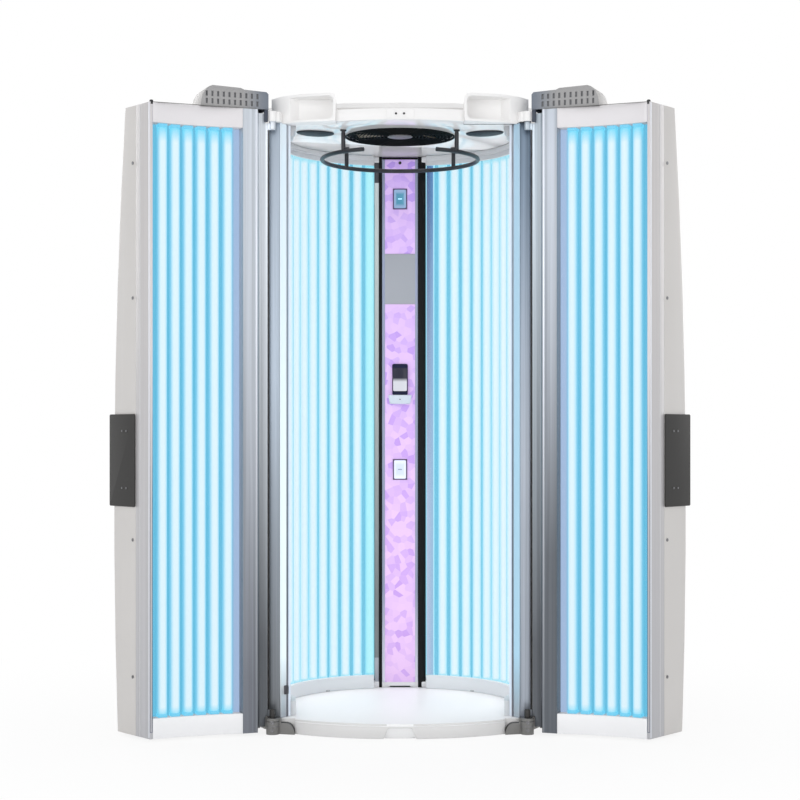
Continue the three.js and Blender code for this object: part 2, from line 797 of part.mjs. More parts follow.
const cornerHousing = joined([
  housingBody,
  solidOf(extruded(lowerLip, ceilingUnderside - housingDrop, housingFloor + cutOver)),
  solidOf(extruded(armPlan, housingFloor, armTop)),
  cylinder(upperKnuckleRadius, pivotX, pivotY, housingFloor, armTop),
  cylinder(pinRadius, pivotX, pivotY, housingFloor - pinEngagement, housingFloor + cutOver),
]);
addPair("corner_housing", cornerHousing, "white");

// Ceiling panel with the round fan opening
const ceilingFront = lipDistance - fasciaSetback - fasciaThickness - gap;
const notchInner = housingInner - gap;
const notchBack = -housingBack + gap;
function coverHalf(radius) {
  const startAngle = THREE.MathUtils.radToDeg(Math.acos(notchBack / radius));
  return [point(notchInner, notchBack), ...arc(radius, startAngle, rearBoxAngle, skinSteps)];
}
function coverPlan(front, radius, rearDepth) {
  const rightHalf = [...coverHalf(radius), point(rearBoxHalfWidth, rearDepth)];
  return [...frontArc(front, notchInner, crownSteps), ...rightHalf, ...toLeft(rightHalf)];
}
function circle(radius, x, y, sides) {
  return Array.from({ length: sides }, (_, i) => {
    const turn = (2 * Math.PI * i) / sides;
    return point(x + radius * Math.cos(turn), y + radius * Math.sin(turn));
  });
}
const fanOpening = circle(fanGrilleRadius + gap, 0, fanCenterY, fanSides);
const ceilingOuter = skinRadius + skinThickness / 2;
const ceilingPlan = coverPlan(ceilingFront, ceilingOuter, rearBoxDepth);
const ceilingPanel = solidOf(extruded(ceilingPlan, ceilingUnderside, ceilingTop, [fanOpening]));
addPiece(booth, "ceiling_panel", ceilingPanel, "trimWhite");

// Fan: grille in the ceiling, rotor above it, motor hung from the roof
const grilleTop = ceilingUnderside + grilleThickness;
const grilleHub = fanHubRadius - grilleHubInset;
const grillePieces = [cylinder(grilleHub, 0, fanCenterY, ceilingUnderside, grilleTop, fanSides)];
for (let ring = 0; ring < grilleRingCount; ring += 1) {
  const outer = fanGrilleRadius - (ring * (fanGrilleRadius - grilleHub)) / grilleRingCount;
  const edge = circle(outer, 0, fanCenterY, fanSides);
  const hole = circle(outer - grilleRingWidth, 0, fanCenterY, fanSides);
  grillePieces.push(solidOf(extruded(edge, ceilingUnderside, grilleTop, [hole])));
}
for (let spoke = 0; spoke < grilleSpokeCount; spoke += 1) {
  const length = fanGrilleRadius - grilleHub;
  const bar = new THREE.BoxGeometry(length, grilleRingWidth, grilleThickness);
  bar.translate(grilleHub - grilleRingWidth / 2 + length / 2, 0, ceilingUnderside + grilleThickness / 2);
  bar.rotateZ((2 * Math.PI * spoke) / grilleSpokeCount).translate(0, fanCenterY, 0);
  grillePieces.push(solidOf(bar));
}
addPiece(booth, "fan_grille", joined(grillePieces), "black");

const rotorFloor = grilleTop + rotorGap;
const rotorTop = rotorFloor + fanHubHeight;
const bladeTip = fanGrilleRadius - fanTipGap;
let rotor = cylinder(fanHubRadius, 0, fanCenterY, rotorFloor, rotorTop, fanSides);
for (let blade = 0; blade < fanBladeCount; blade += 1) {
  const length = bladeTip - fanHubRadius + bladeRoot;
  const vane = new THREE.BoxGeometry(length, bladeChord, bladeThickness).rotateX(degrees(bladePitch));
  vane.translate(fanHubRadius - bladeRoot + length / 2, 0, 0).rotateZ((2 * Math.PI * blade) / fanBladeCount);
  rotor = rotor.add(solidOf(vane.translate(0, fanCenterY, rotorFloor + fanHubHeight / 2)));
}
const shaftHole = cylinder(shaftRadius + gap, 0, fanCenterY, rotorFloor - cutOver, rotorTop + cutOver);
addPiece(booth, "fan_rotor", rotor.subtract(shaftHole), "darkGrey");
const bladeRise = (bladeChord / 2) * Math.sin(degrees(bladePitch));
const motorFloor = rotorFloor + fanHubHeight / 2 + bladeRise + motorGap;
const roofShoulder = ceilingUnderside + roofShoulderRise;
const fanMotor = joined([
  cylinder(motorRadius, 0, fanCenterY, motorFloor, roofShoulder - roofWall - gap, fanSides),
  cylinder(shaftRadius, 0, fanCenterY, rotorFloor + shaftStop, motorFloor + cutOver),
]);
addPiece(booth, "fan_motor", fanMotor, "steel");

// Roof canopy that rises behind a low front fascia
const roofFloor = ceilingTop + gap;
const roofRadius = skinRadius - roofInset;
const roofFront = ceilingFront + gap + cutOver;
const roofPlan = coverPlan(roofFront, roofRadius, rearBoxDepth - roofWall);
function crownPlan(share) {
  return roofPlan.map((p) => {
    const y = p.y * share;
    return point(p.x * share, y < -roofCrest ? -roofCrest + (1 - roofTaper) * (y + roofCrest) : y);
  });
}
const roofInside = (plan) => plan.map((p) => p.clone().multiplyScalar(1 - (2 * roofWall) / roofRadius));
const roofCrown = ceilingUnderside + roofCrownRise;
const crownRise = roofCrown - roofShoulder;
const crownShares = [roofTaper, 0.7, 0.45, 0.2];
const crownLevels = [roofShoulder, roofShoulder + 0.3 * crownRise, roofShoulder + 0.7 * crownRise, roofCrown];
const roofOutside = loft([roofPlan, ...crownShares.map(crownPlan)], [roofFloor, ...crownLevels]);
const hollowPlans = [roofInside(roofPlan), roofInside(crownPlan(roofTaper))];
const roofShell = roofOutside.subtract(loft(hollowPlans, [roofFloor - cutOver, roofShoulder - roofWall]));
const fasciaDistance = lipDistance - fasciaSetback - fasciaThickness / 2;
const fasciaLine = frontArc(fasciaDistance, notchInner - 4 * gap, crownSteps);
const fasciaFloor = ceilingUnderside - fasciaDrop;
const fascia = sheet(fasciaLine, fasciaThickness, fasciaFloor, ceilingUnderside + fasciaRise);
addPiece(booth, "roof_canopy", roofShell.add(fascia), "white");

// Grab ring open at the front, hung from the ceiling on four posts
const ringEnd = 180 - ringGapAngle;
const ringPlan = arc(ringRadius, -ringEnd, ringEnd, ringSteps);
const ringPath = new THREE.CatmullRomCurve3(ringPlan.map((p) => new THREE.Vector3(p.x, p.y, ringHeight)));
const ringTube = new THREE.ExtrudeGeometry(new THREE.Shape(circle(ringTubeRadius, 0, 0, lampSides)), {
  steps: ringSteps,
  extrudePath: ringPath,
  bevelEnabled: false,
});
const grabRing = [solidOf(ringTube)];
[ringPostAngle, 180 - ringPostAngle, 180 + ringPostAngle, 360 - ringPostAngle].forEach((angle) => {
  const post = around(ringRadius, angle);
  grabRing.push(cylinder(ringTubeRadius, post.x, post.y, ringHeight, skinTop, lampSides));
  grabRing.push(cylinder(ringFlangeRadius, post.x, post.y, skinTop - ringFlangeThickness, skinTop));
});
addPiece(booth, "grab_ring", joined(grabRing), "darkGrey");

// Oval speakers under the ceiling
const speakerProfile = [point(0, 0), point(1, 0), point(0.96, -0.5), point(0.7, -0.9), point(0, -1)];
const speakerShape = new THREE.LatheGeometry(speakerProfile.reverse(), 24).rotateX(Math.PI / 2);
speakerShape.scale(speakerLength / 2, speakerWidth / 2, speakerDepth).rotateZ(degrees(-speakerTurn));
const speakerPlace = around(cabinRadius - speakerInset, speakerAngle);
speakerShape.translate(speakerPlace.x, speakerPlace.y, skinTop);
addPair("speaker", solidOf(speakerShape), "black");

// Doors are drawn open towards the right: along the door from the pivot, and back from the lamp face
const windowEnd = doorReach - outerLipWidth;
const rearPlane = sideProfileDepth * Math.cos(flare) + profileWall * Math.sin(flare);
const stripStart = windowStart + gap;
const windowFloor = doorBottom + doorStripHeight;
const windowTop = doorTop - doorStripHeight;

function faceDepth(along) {
  const middle = (windowStart + windowEnd) / 2;
  const share = (along - middle) / (windowEnd - middle);
  return Math.max(0, faceSag * (1 - share ** 2));
}

function faceLine(from, to, depth, steps) {
  return Array.from({ length: steps + 1 }, (_, i) => {
    const along = from + ((to - from) * i) / steps;
    return point(along, faceDepth(along) + depth);
  });
}

function faceSheet(from, to, near, far, bottom, top) {
  const outline = [...faceLine(from, to, near, 14), ...faceLine(from, to, far, 14).reverse()];
  return solidOf(extruded(outline, bottom, top));
}

// A point on the flared outer side, by its distance back from the lamp face and its inset from the side
function sidePoint(back, inset) {
  const along = doorReach + back * Math.sin(flare) - inset * Math.cos(flare);
  return point(along, back * Math.cos(flare) + inset * Math.sin(flare));
}

function innerOutline(from) {
  return [
    point(from, hingeSetback),
    point(hingeFaceEnd, hingeSetback),
    point(hingeFaceEnd + hingeSetback, 0),
    point(windowStart, 0),
    point(windowStart, rearPlane),
    point(from, rearPlane),
  ];
}

function doorInnerProfile() {
  const hingeFaceStart = knuckleRadius + knuckleClearance;
  const lowerBarrelFloor = footHeight + gap;
  const lowerBarrelTop = lowerBarrelFloor + barrelLength;
  const upperBarrelTop = housingFloor - gap;
  const upperBarrelFloor = upperBarrelTop - barrelLength;
  const webBack = hingeSetback + profileWall;
  const webFront = hingeSetback - profileWall;
  const webFloor = footHeight + swingClearance;
  const webTop = housingFloor - swingClearance;
  const hollow = box(
    hingeFaceStart + profileWall,
    windowStart - profileWall,
    hingeSetback + profileWall,
    rearPlane - profileWall,
    doorBottom - cutOver,
    doorTop + cutOver,
  );
  return joined([
    box(hingeFaceEnd + hingeSetback, windowStart, 0, rearPlane, doorBottom, doorTop),
    solidOf(extruded(innerOutline(hingeFaceStart), doorBottom + hingeFaceRise, doorTop - hingeFaceDrop)),
    solidOf(extruded(innerOutline(doorHingeEdge), webFloor, webTop)),
    cylinder(barrelRadius, 0, 0, lowerBarrelFloor, lowerBarrelTop),
    cylinder(barrelRadius, 0, 0, upperBarrelFloor, upperBarrelTop),
    box(0, doorHingeEdge + cutOver, webFront, webBack, webFloor, lowerBarrelTop),
    box(0, doorHingeEdge + cutOver, webFront, webBack, upperBarrelFloor, webTop),
  ])
    .subtract(hollow)
    .subtract(cylinder(pinRadius + gap, 0, 0, 0, lowerBarrelFloor + pinEngagement + pinEndGap))
    .subtract(cylinder(pinRadius + gap, 0, 0, upperBarrelTop - pinEngagement - pinEndGap, doorTop));
}

function doorOuterProfile() {
  const outline = [
    point(windowEnd, 0),
    point(doorReach, 0),
    sidePoint(sideProfileDepth, 0),
    sidePoint(sideProfileDepth, profileWall),
    sidePoint(profileWall, profileWall),
    point(windowEnd, profileWall),
  ];
  return solidOf(extruded(outline, doorBottom, doorTop));
}

function doorStrip(bottom, top) {
  const outline = [
    ...faceLine(stripStart, windowEnd - gap, 0, 20),
    point(windowEnd - gap, profileWall + 2 * gap),
    sidePoint(profileWall + 2 * gap, profileWall + gap),
    sidePoint(sideProfileDepth - profileWall, profileWall + gap),
    point(stripStart, rearPlane),
  ];
  return solidOf(extruded(outline, bottom, top));
}

// Lamps of a door with the socket rails that carry them
const doorHolderNear = acrylicThickness + 2 * gap;
const doorHolderFar = doorHolderNear + lampDiameter + 2 * doorLampSeat;
const doorLampStart = windowStart + doorLampMargin;
const doorLampPitch = (windowEnd - doorLampEndMargin - doorLampStart) / (doorLampCount - 1);
function doorLampBank() {
  const floor = windowFloor + gap;
  const top = windowTop - gap;
  const from = doorLampStart - lampRadius - doorHolderEnd;
  const to = windowEnd - doorLampEndMargin + lampRadius + doorHolderEnd;
  const railHeight = lampHolderHeight / 2;
  const pieces = [
    faceSheet(from, to, doorHolderNear, doorHolderFar, floor, floor + railHeight),
    faceSheet(from, to, doorHolderNear, doorHolderFar, top - railHeight, top),
  ];
  for (let lamp = 0; lamp < doorLampCount; lamp += 1) {
    const along = doorLampStart + lamp * doorLampPitch;
    const depth = faceDepth(along) + doorHolderNear + lampRadius + doorLampSeat;
    const lampFloor = floor + lampSocketDepth;
    pieces.push(cylinder(lampRadius, along, depth, lampFloor, top - lampSocketDepth, lampSides));
  }
  return joined(pieces);
}

// Bowed rear shell: deepest at mid height, lofted from plan sections and hollowed towards the lamps
function shellDepth(height) {
  const share = (height - doorBottom) / (doorTop - doorBottom);
  const bulge = shellDepthMiddle - (shellDepthTop + shellDepthBottom) / 2;
  const straight = shellDepthBottom + (shellDepthTop - shellDepthBottom) * share;
  return straight + 4 * bulge * share * (1 - share);
}

function shellSection(height, inset, front) {
  const hingeEdge = doorHingeEdge + inset;
  const hingeBack = shellHingeDepth - inset;
  const depth = shellDepth(height) - inset;
  const corner = sidePoint(depth, inset);
  const cornerEnd = sidePoint(depth - shellCornerRadius, inset);
  const sideFoot = sidePoint((front - inset * Math.sin(flare)) / Math.cos(flare), inset);
  const rearRun = point(corner.x - hingeEdge, corner.y - hingeBack).normalize();
  const cornerStart = corner.clone().addScaledVector(rearRun, -shellCornerRadius);
  const section = new THREE.Path();
  section.moveTo(hingeEdge, front);
  section.lineTo(hingeEdge, hingeBack - shellCornerRadius);
  section.quadraticCurveTo(hingeEdge, hingeBack, hingeEdge + shellCornerRadius, hingeBack);
  section.quadraticCurveTo(
    (hingeEdge + cornerStart.x) / 2,
    (hingeBack + cornerStart.y) / 2 + shellRearBow,
    cornerStart.x,
    cornerStart.y,
  );
  section.quadraticCurveTo(corner.x, corner.y, cornerEnd.x, cornerEnd.y);
  section.lineTo(sideFoot.x, sideFoot.y);
  return section.getPoints(4);
}

function doorShell() {
  const levelCount = 7;
  const levels = Array.from({ length: levelCount + 1 }, (_, i) => i / levelCount);
  const outerLevels = levels.map((share) => doorBottom + (doorTop - doorBottom) * share);
  const innerBottom = doorBottom + shellWall;
  const innerLevels = levels.map((share) => innerBottom + (doorTop - shellWall - innerBottom) * share);
  const front = rearPlane + gap;
  const outerPlans = outerLevels.map((height) => shellSection(height, 0, front));
  const innerPlans = innerLevels.map((height) => shellSection(height, shellWall, front - cutOver));
  return loft(outerPlans, outerLevels).subtract(loft(innerPlans, innerLevels));
}

// Vent hood with a rounded outer end, a step in its top and two rows of slots
function doorHood() {
  const floor = doorTop + gap;
  const end = hoodStart + hoodLength;
  const profile = (inset, below) => {
    const top = floor + hoodHeight - inset;
    const lowTop = top - hoodStepDrop - hoodTopFall;
    const round = new THREE.Path();
    round.moveTo(end - inset, floor);
    round.quadraticCurveTo(end - hoodLean - inset, floor + hoodBulge - inset, end - hoodRound - inset, top);
    return [
      point(hoodStart + inset, floor - below),
      point(end - inset, floor - below),
      ...round.getPoints(6).slice(below ? 0 : 1),
      point(hoodStart + hoodStepOuter, top - hoodTopFall),
      point(hoodStart + hoodStepInner, top - hoodStepDrop),
      point(hoodStart + hoodCorner + inset, lowTop),
      point(hoodStart + inset, lowTop - hoodCorner),
    ];
  };
  const hollow = plate(profile(hoodWall, cutOver), hoodFront + hoodWall, hoodBack - hoodWall);
  let hood = plate(profile(0, 0), hoodFront, hoodBack).subtract(hollow);
  const slotPitch = (hoodLength - slotStart - slotEndMargin) / slotsPerRow;
  const slotFront = hoodFront - cutOver;
  const slotBack = hoodFront + hoodWall + cutOver;
  [lowerSlotRise, hoodHeight - upperSlotDrop].forEach((rise) => {
    for (let slot = 0; slot < slotsPerRow; slot += 1) {
      const from = hoodStart + slotStart + slot * slotPitch;
      const low = floor + rise;
      hood = hood.subtract(box(from, from + slotWidth, slotFront, slotBack, low, low + slotHeight));
    }
  });
  return hood;
}

// Pull plate that lies on the flared side and reaches back past the shell as a grip
function doorHandlePlate() {
  const middle = sideProfileDepth + gap + handleWidth / 2;
  const outline = roundedRectangle(handleWidth, handleHeight, handleCorner, middle, handleMiddle);
  const geometry = new THREE.ExtrudeGeometry(new THREE.Shape(outline), {
    depth: handleThickness,
    bevelEnabled: false,
  });
  const back = new THREE.Vector3(Math.sin(flare), Math.cos(flare), 0);
  const up = new THREE.Vector3(0, 0, 1);
  const out = new THREE.Vector3(Math.cos(flare), -Math.sin(flare), 0);
  const seat = sidePoint(0, -gap);
  const place = new THREE.Matrix4().makeBasis(back, up, out).setPosition(seat.x, seat.y, 0);
  return solidOf(geometry.applyMatrix4(place));
}

function windowSheet(near, far) {
  return faceSheet(windowStart + gap, windowEnd - gap, near, far, windowFloor + gap, windowTop - gap);
}

const doorReflectorNear = doorHolderFar + gap;
const doorPieces = [
  ["inner_profile", doorInnerProfile(), "aluminium"],
  ["outer_profile", doorOuterProfile(), "aluminium"],
  ["bottom_strip", doorStrip(doorBottom, windowFloor), "trimWhite"],
  ["top_strip", doorStrip(windowTop, doorTop), "trimWhite"],
  ["acrylic", windowSheet(gap, acrylicThickness + gap), "acrylic"],
  ["lamp_bank", doorLampBank(), "lamp"],
  ["reflector", windowSheet(doorReflectorNear, doorReflectorNear + reflectorThickness), "reflector"],
  ["shell", doorShell(), "white"],
  ["vent_hood", doorHood(), "grey"],
  ["handle_plate", doorHandlePlate(), "darkGrey"],
];

function addDoor(side, turn) {
  const door = new THREE.Group();
  door.position.set(side === "left" ? -pivotX : pivotX, pivotY, 0);
  door.rotation.z = degrees(turn);
  doorPieces.forEach(([name, solid, finish]) => {
    const geometry = geometryOf(solid);
    addPiece(door, `${side}_door_${name}`, side === "left" ? mirrored(geometry, "y") : geometry, finish);
  });
  booth.add(door);
}
addDoor("right", -doorOpenAngle);
addDoor("left", 180 + doorOpenAngle);

export default booth;
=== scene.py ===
import math
import bpy
from mathutils import Matrix, Vector


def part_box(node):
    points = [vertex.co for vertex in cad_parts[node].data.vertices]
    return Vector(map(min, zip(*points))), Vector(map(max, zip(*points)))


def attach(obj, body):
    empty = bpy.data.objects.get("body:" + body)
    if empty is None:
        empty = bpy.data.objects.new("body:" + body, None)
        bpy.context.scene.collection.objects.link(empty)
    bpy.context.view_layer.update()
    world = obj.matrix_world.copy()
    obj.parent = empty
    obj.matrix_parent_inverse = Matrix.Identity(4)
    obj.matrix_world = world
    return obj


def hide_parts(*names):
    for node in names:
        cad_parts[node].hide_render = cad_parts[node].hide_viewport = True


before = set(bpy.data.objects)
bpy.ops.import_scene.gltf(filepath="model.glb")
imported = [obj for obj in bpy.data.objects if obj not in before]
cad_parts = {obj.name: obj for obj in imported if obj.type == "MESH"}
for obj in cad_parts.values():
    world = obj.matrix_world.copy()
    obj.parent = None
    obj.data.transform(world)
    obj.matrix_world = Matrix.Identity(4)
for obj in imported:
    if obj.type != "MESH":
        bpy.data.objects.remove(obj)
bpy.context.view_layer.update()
scene = bpy.context.scene
sides = ("left", "right")
mirror = {"left": -1, "right": 1}

# camera solved from the booth's own edges, for an 800 pixel square picture
view = {"place": (0, -6.516, 1.010), "focalPixels": 1823, "imagePixels": 800, "sensor": 36, "horizonDrop": 35}


def setCamera():
    camera = bpy.data.cameras.new("frontCamera")
    camera.sensor_width = view["sensor"]
    camera.lens = view["focalPixels"] / view["imagePixels"] * view["sensor"]
    camera.shift_y = view["horizonDrop"] / view["imagePixels"]
    stand = bpy.data.objects.new("frontCamera", camera)
    stand.location = view["place"]
    stand.rotation_euler = (math.radians(90), 0, 0)
    scene.collection.objects.link(stand)
    scene.camera = stand
    scene.view_settings.view_transform = "Standard"


setCamera()
print("camera set")


# small helpers around the operators

def deselect():
    bpy.ops.object.select_all(action="DESELECT")


def work(piece):
    deselect()
    piece.select_set(True)
    bpy.context.view_layer.objects.active = piece
    return piece


def pick(piece, test):  # faces by their middle and normal
    mesh = piece.data
    for part in (mesh.vertices, mesh.edges):
        part.foreach_set("select", [False] * len(part))
    mesh.polygons.foreach_set("select", [bool(test(f.center, f.normal)) for f in mesh.polygons])


def shape(piece, test, *steps):  # edit mode steps on the picked faces
    work(piece)
    bpy.ops.object.mode_set(mode="OBJECT")
    pick(piece, test)
    bpy.ops.object.mode_set(mode="EDIT")
    bpy.ops.mesh.select_mode(type="FACE")
    for step in steps:
        step()
    bpy.ops.object.mode_set(mode="OBJECT")


def everything(center, normal):
    return True


def facing(axis, sign):  # faces that look along an axis
    return lambda center, normal: normal[axis] * sign > 0.9


towardsFront, towardsRear = facing(1, -1), facing(1, 1)
upwards, downwards = facing(2, 1), facing(2, -1)


def inset(amount, depth=0.0):
    return lambda: bpy.ops.mesh.inset(thickness=amount, depth=depth)


def pull(x, y, z):
    return lambda: bpy.ops.mesh.extrude_region_move(TRANSFORM_OT_translate={"value": (x, y, z)})


def shift(x, y, z):
    return lambda: bpy.ops.transform.translate(value=(x, y, z))


def stretch(x, y, z):
    return lambda: bpy.ops.transform.resize(value=(x, y, z))


def outward():
    bpy.ops.mesh.remove_doubles(threshold=0.00001)
    bpy.ops.mesh.normals_make_consistent(inside=False)


def applyAll(piece):
    work(piece)
    for modifier in list(piece.modifiers):
        bpy.ops.object.modifier_apply(modifier=modifier.name)


def settle(piece):  # place and size go into the mesh
    work(piece)
    bpy.ops.object.transform_apply(location=True, rotation=True, scale=True)
    return piece


def soften(piece, width, segments=2, angle=30, smooth=35):
    if width:
        edge = piece.modifiers.new("edges", "BEVEL")
        edge.width = width
        edge.segments = segments
        edge.limit_method = "ANGLE"
        edge.angle_limit = math.radians(angle)
        edge.use_clamp_overlap = True
        applyAll(piece)
    work(piece)
    bpy.ops.object.shade_smooth_by_angle(angle=math.radians(smooth))
    return piece


def faced(piece, rim, rise, edge, test=towardsFront):  # a rimmed face, raised or sunken, and soft edges
    shape(piece, test, inset(rim), pull(*rise))
    return soften(piece, edge)


def swept(piece, start, sweep, steps):  # turned to a first angle, then swept round the upright axis
    shape(piece, everything,
          lambda: bpy.ops.transform.rotate(value=math.radians(start), orient_axis="Z", center_override=(0, 0, 0)),
          lambda: bpy.ops.mesh.spin(steps=steps, angle=math.radians(sweep), center=(0, 0, 0), axis=(0, 0, 1)))
    shape(piece, everything, outward)


def block(name, low, high):
    deselect()
    middle = [(a + b) / 2 for a, b in zip(low, high)]
    bpy.ops.mesh.primitive_cube_add(size=1, location=middle)
    piece = bpy.context.object
    piece.name = name
    piece.scale = [b - a for a, b in zip(low, high)]
    return settle(piece)


def drum(name, radius, depth, place, sideCount=24):
    deselect()
    bpy.ops.mesh.primitive_cylinder_add(vertices=sideCount, radius=radius, depth=depth, location=place)
    piece = bpy.context.object
    piece.name = name
    return settle(piece)


def copyOf(piece, place=(0, 0, 0), turn=None):
    twin = piece.copy()
    twin.data = piece.data.copy()
    scene.collection.objects.link(twin)
    if turn:
        twin.data.transform(turn)
    twin.data.transform(Matrix.Translation(place))
    return twin


def joinAll(name, pieces):
    deselect()
    for piece in pieces:
        piece.select_set(True)
    bpy.context.view_layer.objects.active = pieces[0]
    bpy.ops.object.join()
    whole = bpy.context.object
    whole.name = name
    return whole


def drop(*pieces):
    for piece in pieces:
        bpy.data.objects.remove(piece, do_unlink=True)


def dress(piece, body, slot, *finishes):
    if finishes:
        piece.data.materials.clear()
        for finish in finishes:
            piece.data.materials.append(finish)
    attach(piece, body)
    return piece


def nodeCopy(node, name):
    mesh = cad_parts[node].data.copy()
    piece = bpy.data.objects.new(name, mesh)
    scene.collection.objects.link(piece)
    shape(piece, everything, outward, lambda: bpy.ops.mesh.dissolve_limited(angle_limit=math.radians(0.6)))
    return piece


made = {}


def refine(node, body, slot, finish, width, segments=2, angle=30, smooth=35):  # CAD form with real edges
    piece = nodeCopy(node, node + "_finish")
    soften(piece, width, segments, angle, smooth)
    dress(piece, body, slot, finish)
    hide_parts(node)
    made[node] = piece
    return piece


# door directions at rest: along the door from its hinge, and back from the lamp face
hinge = {"x": 0.430, "y": -0.360, "open": math.radians(22), "flare": math.radians(16.5), "reach": 0.424}


def doorPlace(side, along, back, height):
    swing = hinge["open"]
    x = hinge["x"] + along * math.cos(swing) + back * math.sin(swing)
    y = hinge["y"] - along * math.sin(swing) + back * math.cos(swing)
    return Vector((mirror[side] * x, y, height))


def doorAxes(side):  # foot of the hinge line, and the directions along the door and back
    start = doorPlace(side, 0, 0, 0)
    return start, doorPlace(side, 1, 0, 0) - start, doorPlace(side, 0, 1, 0) - start


def doorSide(side, back, out, height):  # on the flared outer side
    flare = hinge["flare"]
    along = hinge["reach"] + back * math.sin(flare) + out * math.cos(flare)
    return doorPlace(side, along, back * math.cos(flare) - out * math.sin(flare), height)


def doorTurn(side):  # turns local (along, back, up) into the booth's frame
    swing = hinge["open"]
    alongAxis = Vector((mirror[side] * math.cos(swing), -math.sin(swing), 0))
    backAxis = Vector((mirror[side] * math.sin(swing), math.cos(swing), 0))
    turn = Matrix((alongAxis, backAxis, Vector((0, 0, 1)))).transposed().to_4x4()
    turn.translation = Vector((mirror[side] * hinge["x"], hinge["y"], 0))
    return turn


def ontoDoor(piece, side):  # a piece modelled along the door moves onto the left or right door
    twin = copyOf(piece, turn=doorTurn(side))
    if side == "left":
        shape(twin, everything, lambda: bpy.ops.mesh.flip_normals())
    twin.name = side + "_" + piece.name
    return twin


# shared effects
def newGroup(name, numbers, outputs, colours=(), result="NodeSocketFloat"):
    group = bpy.data.node_groups.new(name, "ShaderNodeTree")
    for label, value in numbers.items():
        socket = group.interface.new_socket(label, in_out="INPUT", socket_type="NodeSocketFloat")
        socket.default_value = value
    for label in colours:
        group.interface.new_socket(label, in_out="INPUT", socket_type="NodeSocketColor")
    for label in outputs:
        group.interface.new_socket(label, in_out="OUTPUT", socket_type=result)
    return group, group.nodes.new("NodeGroupInput"), group.nodes.new("NodeGroupOutput")


def add(tree, kind, **settings):
    node = tree.nodes.new(kind)
    for key, value in settings.items():
        if key not in node.inputs.keys():
            setattr(node, key, value)
        elif isinstance(value, bpy.types.NodeSocket):
            tree.links.new(value, node.inputs[key])
        else:
            node.inputs[key].default_value = value
    return node


def wire(tree, start, end):
    tree.links.new(start, end)


def mathNode(tree, operation, first, second=None, clamp=False):
    node = tree.nodes.new("ShaderNodeMath")
    node.operation = operation
    node.use_clamp = clamp
    for index, value in enumerate((first, second)):
        if value is None:
            continue
        if isinstance(value, (int, float)):
            node.inputs[index].default_value = value
        else:
            tree.links.new(value, node.inputs[index])
    return node.outputs[0]


def mixColor(tree, factor, first, second, blend="MIX"):
    node = tree.nodes.new("ShaderNodeMix")
    node.data_type = "RGBA"
    node.blend_type = blend
    slots = (node.inputs[0], node.inputs[6], node.inputs[7])
    for socket, value in zip(slots, (factor, first, second)):
        if isinstance(value, bpy.types.NodeSocket):
            tree.links.new(value, socket)
        else:
            socket.default_value = value if socket is slots[0] else (*value, 1)
    return node.outputs[2]


def eased(tree, value, low, high):  # smooth rise from 0 to 1 between two values
    ends = {"From Min": low, "From Max": high}
    return add(tree, "ShaderNodeMapRange", interpolation_type="SMOOTHSTEP", Value=value, **ends).outputs[0]


def axes(tree):  # the place on a piece as X, Y and Z
    place = add(tree, "ShaderNodeTexCoord")
    return add(tree, "ShaderNodeSeparateXYZ", Vector=place.outputs["Object"]).outputs


def lit(tree, shader, tone):  # a surface that glows in its own colour
    wire(tree, tone, shader.inputs["Base Color"])
    wire(tree, tone, shader.inputs["Emission Color"])


def srgb(red, green, blue):  # picture values to scene values
    def one(value):
        share = value / 255
        return share / 12.92 if share <= 0.04045 else ((share + 0.055) / 1.055) ** 2.4
    return (one(red), one(green), one(blue))


def grainGroup():  # fine paint texture and slow drift of tone
    group, start, end = newGroup("coatGrain", {"Scale": 700}, ("Height", "Tone"))
    place = add(group, "ShaderNodeTexCoord")
    fine = add(group, "ShaderNodeTexNoise", Detail=2, Roughness=0.6, Vector=place.outputs["Object"],
               Scale=start.outputs["Scale"])
    slow = add(group, "ShaderNodeTexNoise", Scale=2.6, Detail=3, Roughness=0.5, Vector=place.outputs["Object"])
    wire(group, fine.outputs[0], end.inputs["Height"])
    wire(group, slow.outputs[0], end.inputs["Tone"])
    return group


def brushGroup():  # lines drawn along the height of a profile
    group, start, end = newGroup("brushedLines", {"Scale": 600}, ("Line",))
    place = add(group, "ShaderNodeTexCoord")
    flat = add(group, "ShaderNodeVectorMath", operation="MULTIPLY")
    flat.inputs[1].default_value = (1, 1, 0.006)
    wire(group, place.outputs["Object"], flat.inputs[0])
    lines = add(group, "ShaderNodeTexNoise", Detail=4, Roughness=0.65, Vector=flat.outputs[0],
                Scale=start.outputs["Scale"])
    wire(group, lines.outputs[0], end.inputs["Line"])
    return group


def fadeGroup():  # share of the way from one height to another
    group, start, end = newGroup("heightShare", {"Low": 0, "High": 2}, ("Share",))
    rise = mathNode(group, "SUBTRACT", axes(group)["Z"], start.outputs["Low"])
    span = mathNode(group, "SUBTRACT", start.outputs["High"], start.outputs["Low"])
    wire(group, mathNode(group, "DIVIDE", rise, span, True), end.inputs["Share"])
    return group


def glowGroup():  # a lamp's colour from its core to its sides and its ends
    group, start, end = newGroup("tubeGlow", {"Facing": 1, "Ends": 0}, ("Color",), ("Core", "Middle", "Edge", "Tip"),
                                 "NodeSocketColor")
    near = eased(group, start.outputs["Facing"], 0.22, 0.66)
    core = eased(group, start.outputs["Facing"], 0.55, 0.90)
    outer = mixColor(group, near, start.outputs["Edge"], start.outputs["Middle"])
    whole = mixColor(group, core, outer, start.outputs["Core"])
    wire(group, mixColor(group, start.outputs["Ends"], whole, start.outputs["Tip"]), end.inputs["Color"])
    return group


